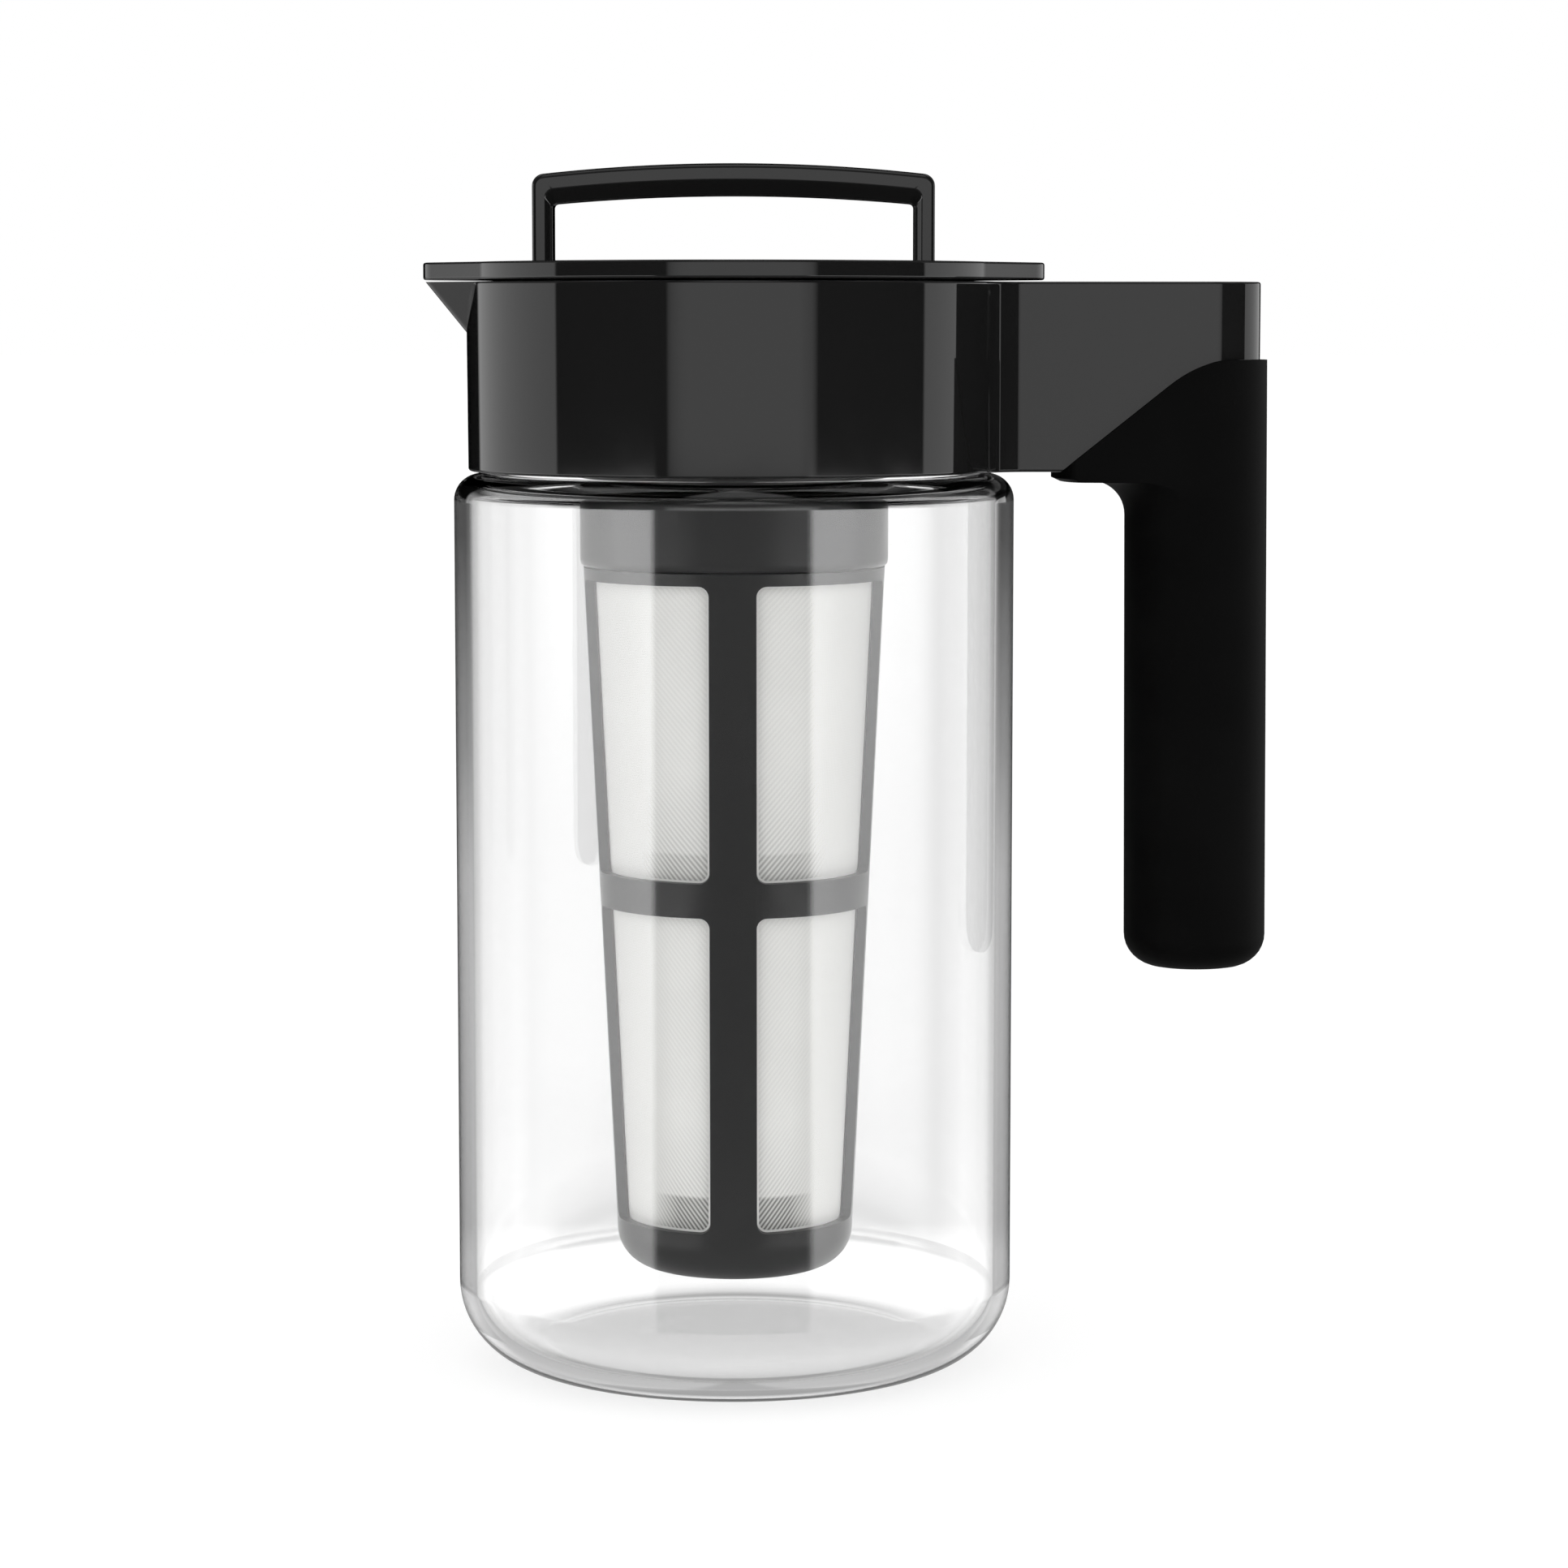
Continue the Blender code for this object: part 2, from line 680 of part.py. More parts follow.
def make_bail(material):
    """The fixed carrying loop, with its inner edge sloped on both faces."""
    half = 0.5 * BAIL_WIDTH
    outer = bail_rail(0.0, 0.0, BAIL_CROWN, BAIL_CORNER)
    rim = bail_rail(BAIL_EDGE, BAIL_EDGE, BAIL_CROWN - BAIL_EDGE, BAIL_CORNER - BAIL_EDGE)
    face = bail_rail(BAIL_LEG_FACE, BAIL_BAR_FACE, BAIL_CROWN, BAIL_INNER_CORNER)
    inner = bail_rail(BAIL_LEG, BAIL_BAR, BAIL_CROWN + BAIL_CROWN_LOSS, BAIL_INNER_CORNER)
    slim = half - BAIL_BEVEL_DEPTH
    bm = bmesh.new()
    rows = []
    for o, r, f, i in zip(outer, rim, face, inner):
        section = [(o, half - BAIL_EDGE), (r, half), (f, half), (i, slim)]
        section += [(i, -slim), (f, -half), (r, -half), (o, BAIL_EDGE - half)]
        rows.append([bm.verts.new((x * MM, y * MM, z * MM)) for (x, z), y in section])
    for row, after in zip(rows, rows[1:]):
        count = len(row)
        for k in range(count):
            j = (k + 1) % count
            bm.faces.new((row[k], row[j], after[j], after[k]))
    bm.faces.new(rows[0])
    bm.faces.new(rows[-1])
    bail = new_object("lid_bail", mesh_from_bmesh("lid_bail", bm))
    for side in (-1.0, 1.0):
        boolean(bail, tenon_block("tenon", side, 0.0), "UNION")
    return dress(bail, material)


def plug_bottom():
    """Lower end of the plug's skirt, on the collar's flange."""
    return flange_bottom() + SEAT_FLANGE + FIT


def plug_plate_bottom():
    """Underside of the plug's plate."""
    return lid_bottom() - FIT - PLUG_PLATE


def gasket_middle():
    """Height of the middle of the lid's gasket."""
    return plug_bottom() + 0.5 * GASKET_HEIGHT + 2.0 * FIT + GASKET_RISE


def socket_radius():
    """Inside radius of the infuser's socket under the lid."""
    return infuser_neck_radius() + FIT + 0.1


def socket_bottom():
    """Lower end of the infuser's socket."""
    return plug_plate_bottom() - SOCKET_DEPTH


def lug_low():
    """Underside of the bayonet lugs on the infuser's neck."""
    return socket_bottom() + LUG_RISE


def sector(name, inner, outer, start, end, low, high):
    """A block that fills part of a ring, between two angles in degrees."""
    steps = max(2, math.ceil((end - start) / 7.5))
    outline = arc(0.0, 0.0, outer, start, end, steps)
    outline += arc(0.0, 0.0, inner, end, start, steps)
    return new_object(name, prism(name, outline, low, high))


def lug_angles():
    """Where each lug starts when the infuser is locked."""
    return [LUG_START + 360.0 * k / LUG_COUNT for k in range(LUG_COUNT)]


def cut_bayonet(plug):
    """Cut the L-shaped tracks that the infuser's lugs run in."""
    bore = socket_radius()
    deep = bore + LUG_REACH
    low = lug_low()
    slack = LUG_SLACK
    for start in lug_angles():
        end = start + LUG_SPAN + LUG_TURN
        track = sector("track", bore - 1.0, deep, start - slack, end + slack, low - FIT,
                       low + LUG_HEIGHT + FIT)
        boolean(plug, track, "DIFFERENCE")
        entry = sector("entry", bore - 1.0, deep, end - LUG_SPAN - slack, end + slack,
                       socket_bottom() - 1.0, low + LUG_HEIGHT)
        boolean(plug, entry, "DIFFERENCE")


def make_lid_plug(material):
    """Plate, sealing skirt with its pour slots, and the infuser's bayonet socket."""
    top = plug_plate_bottom() + PLUG_PLATE
    under = plug_plate_bottom()
    outer = collar_bore() - PLUG_CLEARANCE
    inner = outer - PLUG_SKIRT_WALL
    low = plug_bottom()
    mid = gasket_middle()
    half = 0.5 * GASKET_HEIGHT + FIT
    groove = outer - GASKET_DEPTH - FIT
    bore = socket_radius()
    boss = bore + SOCKET_WALL
    profile = [(0.0, under), (bore, under), (bore, socket_bottom() + 0.4)]
    profile += [(bore + 0.4, socket_bottom()), (boss, socket_bottom()), (boss, under)]
    profile += [(inner, under), (inner, low), (outer - 0.4, low), (outer, low + 0.4)]
    profile += [(outer, mid - half), (groove, mid - half), (groove, mid + half)]
    profile += [(outer, mid + half), (outer, top), (0.0, top)]
    plug = new_object("lid_plug", turned("lid_plug", profile))
    slot_low = mid + half + POUR_SLOT_SILL
    slot_high = under - POUR_SLOT_HEAD
    for group in (90.0, 270.0):
        for k in range(POUR_SLOT_COUNT):
            angle = group + POUR_SLOT_PITCH * (k - 0.5 * (POUR_SLOT_COUNT - 1))
            boolean(plug, pour_slot(angle, inner, outer, slot_low, slot_high), "DIFFERENCE")
    cut_bayonet(plug)
    return dress(plug, material)


def pour_slot(angle, inner, outer, low, high):
    """Cutter for one upright slot through the plug's skirt."""
    half = 0.5 * POUR_SLOT_WIDTH
    outline = [(inner - 1.5, -half), (outer + 1.5, -half), (outer + 1.5, half), (inner - 1.5, half)]
    turn = math.radians(angle)
    c, s = math.cos(turn), math.sin(turn)
    points = [(x * c - y * s, x * s + y * c) for x, y in outline]
    return new_object("slot", prism("slot", points, low, high))


def make_lid_gasket(material):
    """Silicone ring with two lips, in the groove of the plug's skirt."""
    outer = collar_bore() - PLUG_CLEARANCE + GASKET_PROUD
    inner = collar_bore() - PLUG_CLEARANCE - GASKET_DEPTH
    mid = gasket_middle()
    half = 0.5 * GASKET_HEIGHT
    profile = [(inner, mid - half), (outer - 0.3, mid - half), (outer, mid - half + 0.3)]
    profile += [(outer - 0.5, mid), (outer, mid + half - 0.3)]
    profile += [(outer - 0.3, mid + half), (inner, mid + half)]
    return dress(new_object("lid_gasket", turned("lid_gasket", profile)), material)


def ring_shoulder():
    """Where the infuser's ring meets the lower end of its socket."""
    return socket_bottom() - FIT


def ring_bottom():
    """Height of the ring's lower edge, where the basket starts."""
    return ring_shoulder() - RING_HEIGHT


def basket_top_radius():
    """Outside radius of the basket under the ring."""
    return RING_RADIUS - BASKET_STEP


def basket_bottom_radius():
    """Outside radius of the basket at its cup."""
    return basket_top_radius() - BASKET_TAPER


def basket_bottom():
    """Underside of the basket, clear of the jug's floor."""
    return JUG_FLOOR + BASKET_FLOOR_GAP


def window_rows():
    """Lower and upper edge of each row of windows, the lower row first."""
    head = ring_bottom() - WINDOW_TOP_BAND
    sill = head - UPPER_WINDOW_HEIGHT
    return ((basket_bottom() + WINDOW_CUP, sill - WINDOW_MIDDLE_BAND), (sill, head))


def spigot_radius():
    """Outside radius of the basket's spigot, which plugs into the ring."""
    return RING_RADIUS - RING_WALL - FIT


def ring_bore():
    """Inside radius of the ring and its neck, flush with the spigot's."""
    return spigot_radius() - BASKET_WALL


def infuser_neck_radius():
    """Outside radius of the infuser's neck."""
    return ring_bore() + INFUSER_NECK_WALL


def make_infuser_ring(material):
    """The infuser's top ring, with the lugged neck that turns into the lid."""
    low = ring_bottom()
    shoulder = ring_shoulder()
    top = plug_plate_bottom() - 0.5
    bore, neck = ring_bore(), infuser_neck_radius()
    seat = low + BASKET_SPIGOT
    profile = [(spigot_radius() + FIT, low)]
    for k in range(5):
        angle = math.radians(90.0 * k / 4)
        profile.append((RING_RADIUS - RING_STEP * (1.0 - math.sin(angle)),
                        low + 2.0 * RING_STEP * (1.0 - math.cos(angle))))
    profile += [(RING_RADIUS, shoulder - 0.4), (RING_RADIUS - 0.4, shoulder)]
    profile += [(neck, shoulder), (neck, top - 0.5)]
    profile += [(neck - 0.5, top), (bore, top), (bore, seat)]
    profile += [(spigot_radius() + FIT, seat)]
    ring = new_object("infuser_ring", turned("infuser_ring", profile, INNER_SEGMENTS))
    for start in lug_angles():
        lug = sector("lug", neck - LUG_ROOT, neck + LUG_REACH, start, start + LUG_SPAN, lug_low(),
                     lug_low() + LUG_HEIGHT)
        boolean(ring, lug, "UNION")
    return dress(ring, material)


def basket_radius(z):
    """Outside radius of the tapered basket at a height."""
    low = basket_bottom() + BASKET_BOTTOM_CORNER
    share = (z - low) / (ring_bottom() - low)
    return basket_bottom_radius() + share * BASKET_TAPER


def window_slab(name, low, high, axis):
    """Two long cutters with rounded inner corners, one on each side of a pair of ribs."""
    half = 0.5 * RIB_WIDTH
    corner = WINDOW_CORNER
    far = basket_top_radius() + 6.0
    slab = None
    for side in (-1.0, 1.0):
        points = [(far, low), (far, high)]
        points += arc(half + corner, high - corner, corner, 90, 180, 4)
        points += arc(half + corner, low + corner, corner, 180, 270, 4)
        points = [(side * u, v) for u, v in points]
        piece = new_object(name, prism(name, points, -far, far, axis=axis))
        if slab is None:
            slab = piece
        else:
            boolean(slab, piece, "UNION")
    return slab


def make_infuser_frame(material):
    """The basket: four ribs, a middle band and a closed cup, with eight windows."""
    top = ring_bottom() - FIT
    low = basket_bottom()
    corner = BASKET_BOTTOM_CORNER
    wall = BASKET_WALL
    radius = basket_bottom_radius()
    floor = low + wall
    spigot = spigot_radius()
    spigot_top = top + BASKET_SPIGOT - FIT
    profile = [(0.0, low)]
    ledge = top - BASKET_LEDGE
    profile += arc(radius - corner, low + corner, corner, -90, 0, 5)
    profile += [(basket_top_radius(), top), (spigot, top), (spigot, spigot_top)]
    profile += [(spigot - wall, spigot_top), (spigot - wall, ledge)]
    profile += [(basket_radius(ledge) - wall, ledge)]
    profile += arc(radius - corner, low + corner, corner - wall, 0, -90, 4)
    profile += [(0.0, floor)]
    frame = new_object("infuser_frame", turned("infuser_frame", profile, INNER_SEGMENTS))
    for bottom, head in window_rows():
        cutter = window_slab("window", bottom, head, "Y")
        boolean(cutter, window_slab("window_across", bottom, head, "X"), "INTERSECT")
        boolean(frame, cutter, "DIFFERENCE")
    return dress(frame, material)


def make_filter_mesh(material):
    """The fine nylon mesh behind the windows, one tapered sleeve."""
    high = ring_bottom() - FIT - BASKET_LEDGE - FIT
    low = window_rows()[0][0] - MESH_TUCK
    gap = BASKET_WALL + FIT
    thin = MESH_THICKNESS
    profile = [(basket_radius(low) - gap - thin, low), (basket_radius(low) - gap, low)]
    profile += [(basket_radius(high) - gap, high), (basket_radius(high) - gap - thin, high)]
    sleeve = new_object("filter_mesh", turned("filter_mesh", profile, INNER_SEGMENTS))
    return dress(sleeve, material)


def main():
    """Build every piece."""
    clear_scene()
    gloss = paint("black_abs", (0.010, 0.010, 0.010), 0.15)
    soft = paint("soft_black", (0.005, 0.005, 0.005), 0.6)
    clear = paint("clear_copolyester", (0.90, 0.92, 0.93), 0.05, 0.3)
    inner = paint("dark_polypropylene", (0.032, 0.032, 0.032), 0.4)
    silicone = paint("grey_silicone", (0.25, 0.25, 0.25), 0.5)
    nylon = paint("white_nylon", (0.80, 0.80, 0.80), 0.6)
    make_jug(clear)
    make_neck_seal(silicone)
    make_collar(gloss)
    make_grip(soft)
    make_lid_cover(gloss)
    make_bail(gloss)
    make_lid_plug(inner)
    make_lid_gasket(silicone)
    make_infuser_ring(inner)
    make_infuser_frame(inner)
    make_filter_mesh(nylon)


main()
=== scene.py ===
"""Looks of the cold brew coffee maker: a clear jug, a black collar with its handle, a lid and a mesh infuser.

Sizes in the classes are millimetres and become metres when a piece is drawn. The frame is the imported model:
the origin is the middle of the jug's base, +Z is up, the spout points to -X and the handle to +X.
"""
import logging
import math
from dataclasses import dataclass
from enum import Enum
from functools import partial

import bmesh
import bpy
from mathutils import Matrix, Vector


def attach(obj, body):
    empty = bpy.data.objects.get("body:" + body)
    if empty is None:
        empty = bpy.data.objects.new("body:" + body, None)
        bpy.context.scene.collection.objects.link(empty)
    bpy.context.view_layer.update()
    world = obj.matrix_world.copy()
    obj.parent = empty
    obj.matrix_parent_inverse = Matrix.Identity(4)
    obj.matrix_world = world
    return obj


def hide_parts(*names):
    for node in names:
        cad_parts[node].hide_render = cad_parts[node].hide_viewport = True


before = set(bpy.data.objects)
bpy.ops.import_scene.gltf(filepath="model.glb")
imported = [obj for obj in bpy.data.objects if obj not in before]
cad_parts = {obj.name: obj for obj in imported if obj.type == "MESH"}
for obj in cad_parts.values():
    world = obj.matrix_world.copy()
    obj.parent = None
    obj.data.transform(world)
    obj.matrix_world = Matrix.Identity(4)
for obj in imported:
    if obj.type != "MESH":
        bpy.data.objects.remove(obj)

MM = 0.001
FIT = 0.3  # gap between pieces that touch on the real product
OVER = 2.0  # how far a cutter reaches past what it cuts
SUNK = 0.02  # keeps two joined blocks from sharing a face
BAND_RADIUS = 47.6  # of the collar and of the cover on it
LOG = logging.getLogger("coffee_maker")
Point = tuple[float, float]
Line = tuple[Vector, float]
Material = bpy.types.Material
Piece = bpy.types.Object
Socket = bpy.types.NodeSocket
Tree = bpy.types.NodeTree


class Body(Enum):
    """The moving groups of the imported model."""

    JUG = "jug"
    GASKET = "gasket"
    LID = "lid"
    INFUSER = "infuser"


class Rays(Enum):
    """The Light Path outputs that the studio tells apart."""

    CAMERA = "Is Camera Ray"
    TRANSMISSION = "Is Transmission Ray"
    BOUNCES = "Diffuse Depth"


def hex_to_linear(code: str) -> tuple[float, float, float, float]:
    """Turn an sRGB hex colour into linear light.

    Args:
        code: the colour, such as "#1a1a1a".

    Returns:
        Red, green, blue and an alpha of 1.
    """
    channels = []
    for start in (1, 3, 5):
        value = int(code[start:start + 2], 16) / 255.0
        channels.append(value / 12.92 if value <= 0.04045 else ((value + 0.055) / 1.055) ** 2.4)
    return (channels[0], channels[1], channels[2], 1.0)


def connect(tree: Tree, node: bpy.types.Node, inputs: dict) -> None:
    """Give a node's inputs, by number or name, their values or other nodes' outputs."""
    for name, value in inputs.items():
        if isinstance(value, Socket):
            tree.links.new(value, node.inputs[name])
        else:
            node.inputs[name].default_value = value


def add_node(tree: Tree, kind: str, inputs: dict | list | tuple = (), output: int | str = 0,
             **settings) -> Socket | None:
    """Add a node with its settings, values and links.

    Args:
        tree: the node tree it goes into.
        kind: the node's type, after its ShaderNode prefix.
        inputs: values or other nodes' outputs, in order or under the inputs' names.
        output: number or name of the output to return.
        settings: the node's own properties.

    Returns:
        That output, or None for a node that has none.
    """
    node = tree.nodes.new("ShaderNode" + kind)
    for name, value in settings.items():
        setattr(node, name, value)
    connect(tree, node, inputs if isinstance(inputs, dict) else dict(enumerate(inputs)))
    return node.outputs[output] if len(node.outputs) else None


def follow(add: partial, value: Socket, stops: list[Point]) -> Socket:
    """Return a brightness that follows a value from stop to stop.

    Args:
        add: adds a node to the tree.
        value: the value, such as an angle or a height.
        stops: value and linear brightness of each stop, in order.

    Returns:
        The brightness.
    """
    first, last = stops[0][0], stops[-1][0]
    peak = max(level for _, level in stops)
    shown = add("ValToRGB", (add("MapRange", (value, first, last)),))
    ramp = shown.node.color_ramp
    while len(ramp.elements) < len(stops):
        ramp.elements.new(0.5)
    for element, (place, level) in zip(ramp.elements, stops):
        element.position = (place - first) / (last - first)
        element.color = (level / peak, level / peak, level / peak, 1.0)
    return add("Math", (shown, peak), operation="MULTIPLY")


def new_material(name: str) -> tuple[Material, partial, Socket]:
    """Start a material with its Principled shader.

    Returns:
        The material, what adds a node to it, and its Object coordinates.
    """
    material = bpy.data.materials.new(name)
    material.use_nodes = True
    add = partial(add_node, material.node_tree)
    return material, add, add("TexCoord", output="Object")


def dress(material: Material, inputs: dict) -> Material:
    """Give a material's Principled shader its inputs, and return the material."""
    tree = material.node_tree
    connect(tree, tree.nodes["Principled BSDF"], inputs)
    return material


def cloudy(add: partial, place: Socket, colour: str, scale: float, swing: float) -> Socket:
    """Return a grey that drifts in soft clouds.

    Args:
        add: adds a node to the tree.
        place: the Object coordinates.
        colour: the middle tone.
        scale: how many clouds a metre holds.
        swing: how far the tone drifts, as a share.
    """
    cloud = add("TexNoise", {"Vector": place, "Scale": scale, "Detail": 2.0}, "Fac")
    tone = hex_to_linear(colour)[0]
    return follow(add, cloud, [(0.3, tone * (1.0 - swing)), (0.7, tone * (1.0 + swing))])


def arc(cx: float, cy: float, radius: float, start: float, end: float, steps: int) -> list[Point]:
    """Points on a circle from one angle to another.

    Args:
        cx: the centre, across.
        cy: the centre, up.
        radius: the circle's radius.
        start: first angle in degrees.
        end: last angle in degrees.
        steps: how many stretches between them.

    Returns:
        The points, both ends included.
    """
    angles = [math.radians(start + (end - start) * i / steps) for i in range(steps + 1)]
    return [(cx + radius * math.cos(angle), cy + radius * math.sin(angle)) for angle in angles]


def activate(piece: Piece) -> None:
    """Select one piece alone."""
    bpy.ops.object.select_all(action="DESELECT")
    bpy.context.view_layer.objects.active = piece
    piece.select_set(True)


def apply_modifier(piece: Piece, kind: str, **settings) -> None:
    """Add a modifier with its settings and apply it."""
    activate(piece)
    modifier = piece.modifiers.new(kind.title(), kind)
    for name, value in settings.items():
        setattr(modifier, name, value)
    bpy.ops.object.modifier_apply(modifier=modifier.name)


def combine(target: Piece, tool: Piece, operation: str) -> None:
    """Cut, join or intersect one piece with another, and remove the other."""
    apply_modifier(target, "BOOLEAN", operation=operation, solver="EXACT", object=tool)
    bpy.data.objects.remove(tool, do_unlink=True)


def bevel_edges(piece: Piece, width: float, segments: int, angle: float = 60.0) -> None:
    """Round the edges that are sharper than an angle in degrees, by a width in millimetres."""
    apply_modifier(piece, "BEVEL", width=width * MM, segments=segments, limit_method="ANGLE",
                   angle_limit=math.radians(angle), use_clamp_overlap=True, harden_normals=False)


def smooth(piece: Piece, angle: float = 30.0) -> Piece:
    """Shade a piece smooth up to an angle in degrees, with the large faces staying true."""
    activate(piece)
    bpy.ops.object.shade_smooth_by_angle(angle=math.radians(angle))
    apply_modifier(piece, "WEIGHTED_NORMAL", mode="FACE_AREA", weight=100, keep_sharp=True)
    return piece


def close_mesh() -> None:
    """Merge doubles, turn every face outwards and leave edit mode."""
    bpy.ops.mesh.select_all(action="SELECT")
    bpy.ops.mesh.remove_doubles(threshold=1e-6)
    bpy.ops.mesh.normals_make_consistent(inside=False)
    bpy.ops.object.mode_set(mode="OBJECT")


def turned(name: str, profile: list[Point], segments: int) -> Piece:
    """Draw a (radius, height) profile by extruding a vertex, and spin it round the Z axis.

    Args:
        name: the piece's name.
        profile: the outline in millimetres; it starts and ends on the axis, or on the same point.
        segments: steps in the full turn.

    Returns:
        The closed round piece.
    """
    places = [Vector((radius * MM, 0.0, z * MM)) for radius, z in profile]
    bpy.ops.object.select_all(action="DESELECT")
    bpy.ops.mesh.primitive_plane_add(size=MM)
    piece = bpy.context.object
    piece.name = piece.data.name = name
    bpy.ops.object.mode_set(mode="EDIT")
    bpy.ops.mesh.select_all(action="SELECT")
    bpy.ops.mesh.merge(type="CENTER")
    bpy.ops.transform.translate(value=places[0])
    for before, after in zip(places, places[1:]):
        bpy.ops.mesh.extrude_region_move(TRANSFORM_OT_translate={"value": after - before})
    bpy.ops.mesh.select_all(action="SELECT")
    bpy.ops.mesh.spin(steps=segments, angle=2.0 * math.pi, center=(0.0, 0.0, 0.0), axis=(0.0, 0.0, 1.0))
    close_mesh()
    return piece


def start_outline(name: str, outline: list[Vector]) -> Piece:
    """Begin a piece as one closed outline in metres, filled and left in edit mode."""
    bpy.ops.object.select_all(action="DESELECT")
    bpy.ops.mesh.primitive_circle_add(vertices=len(outline), radius=MM)
    piece = bpy.context.object
    piece.name = piece.data.name = name
    for vertex, place in zip(piece.data.vertices, outline):
        vertex.co = place
    bpy.ops.object.mode_set(mode="EDIT")
    bpy.ops.mesh.select_all(action="SELECT")
    bpy.ops.mesh.edge_face_add()
    return piece


def lay_ring(points: list[Vector]) -> None:
    """In edit mode, add a circle and move its vertices onto a closed outline in metres."""
    bpy.ops.mesh.select_all(action="DESELECT")
    bpy.ops.mesh.primitive_circle_add(vertices=len(points), radius=MM)
    mesh = bpy.context.edit_object.data
    sheet = bmesh.from_edit_mesh(mesh)
    ring = [vertex for vertex in sheet.verts if vertex.select]
    for vertex, place in zip(ring, points):
        vertex.co = place
    bmesh.update_edit_mesh(mesh)


def block(name: str, outline: list[Point], low: float, high: float, axis: str = "Z", lean: float = 0.0) -> Piece:
    """Fill a flat outline and extrude it.

    Args:
        name: the piece's name.
        outline: the closed outline in millimetres.
        low: where the first face lies along the axis.
        high: where the last face lies.
        axis: the direction it is extruded in.
        lean: how far the last face is moved along the outline's first direction.

    Returns:
        The closed block.
    """
    place = {"Z": lambda u, v, w: Vector((u, v, w)), "Y": lambda u, v, w: Vector((u, w, v)),
             "X": lambda u, v, w: Vector((w, u, v))}[axis]
    piece = start_outline(name, [place(u, v, low) * MM for u, v in outline])
    bpy.ops.mesh.extrude_region_move(TRANSFORM_OT_translate={"value": place(lean, 0.0, high - low) * MM})
    close_mesh()
    return piece


def loft(name: str, rings: list[list[Vector]]) -> Piece:
    """Bridge closed outlines of as many points, one after another, and cap both ends.

    Args:
        name: the piece's name.
        rings: the outlines in millimetres.

    Returns:
        The closed piece.
    """
    count = len(rings[0])
    piece = start_outline(name, [point * MM for point in rings[0]])
    for ring in rings[1:]:
        lay_ring([point * MM for point in ring])
    sheet = bmesh.from_edit_mesh(piece.data)
    sheet.verts.ensure_lookup_table()
    for k in range(len(rings) - 1):
        lower = sheet.verts[k * count:(k + 1) * count]
        upper = sheet.verts[(k + 1) * count:(k + 2) * count]
        for i in range(count):
            j = (i + 1) % count
            sheet.faces.new((lower[i], lower[j], upper[j], upper[i]))
    sheet.faces.new(sheet.verts[-count:])
    bmesh.update_edit_mesh(piece.data)
    close_mesh()
    return piece


def fit_piece(piece: Piece, material: Material, body: Body, node: str) -> None:
    """Dress a finished piece and let it stand for its CAD node.

    Args:
        piece: the finished mesh.
        material: its finish.
        body: the body that it moves with.
        node: the CAD node that it replaces.
    """
    piece.data.materials.clear()
    piece.data.materials.append(material)
    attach(piece, body.value)
    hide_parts(node)
    LOG.info("%s: %d faces, stands for %s", piece.name, len(piece.data.polygons), node)


@dataclass(frozen=True)
class GlossAbs:
    """Black ABS moulded in a polished tool: deep black with sharp reflections and a faint ripple."""

    colour: str = "#171717"
    ior: float = 1.5
    roughness: float = 0.035
    haze_scale: float = 90.0
    ripple_mm: float = 14.0
    ripple_height_mm: float = 0.004
    upright: float = 0.006

    def build(self) -> Material:
        """Return the finish."""
        material, add, place = new_material("abs_polished_black")
        flow = add("TexNoise", {"Vector": place, "Scale": 1.0 / (self.ripple_mm * MM), "Detail": 1.0,
                                "Roughness": 0.4}, "Fac")
        haze = add("TexNoise", {"Vector": place, "Scale": self.haze_scale, "Detail": 3.0}, "Fac")
        gloss = add("MapRange", (haze, 0.3, 0.7, self.roughness * 0.8, self.roughness * 1.4))
        bump = add("Bump", {"Height": flow, "Strength": 0.25, "Distance": self.ripple_height_mm * MM})
        lean = add("VectorMath", (bump, (0.0, 0.0, self.upright)), operation="ADD")
        even = add("VectorMath", (lean,), operation="NORMALIZE")
        return dress(material, {"Base Color": hex_to_linear(self.colour), "IOR": self.ior, "Roughness": gloss,
                                "Normal": even})


@dataclass(frozen=True)
class SoftGripRubber:
    """Soft black TPE moulded in a blasted tool: matte, nearly without reflections, with a fine grain."""

    colour: str = "#080808"
    roughness: float = 0.62
    specular: float = 0.07
    cloud_scale: float = 55.0
    grain_mm: float = 0.35
    grain_height_mm: float = 0.03

    def build(self) -> Material:
        """Return the finish."""
        material, add, place = new_material("tpe_blasted_black")
        grain = add("TexNoise", {"Vector": place, "Scale": 1.0 / (self.grain_mm * MM), "Detail": 2.0}, "Fac")
        bump = add("Bump", {"Height": grain, "Strength": 0.3, "Distance": self.grain_height_mm * MM})
        return dress(material, {"Base Color": cloudy(add, place, self.colour, self.cloud_scale, 0.15), "Normal": bump,
                                "Roughness": self.roughness, "Specular IOR Level": self.specular})


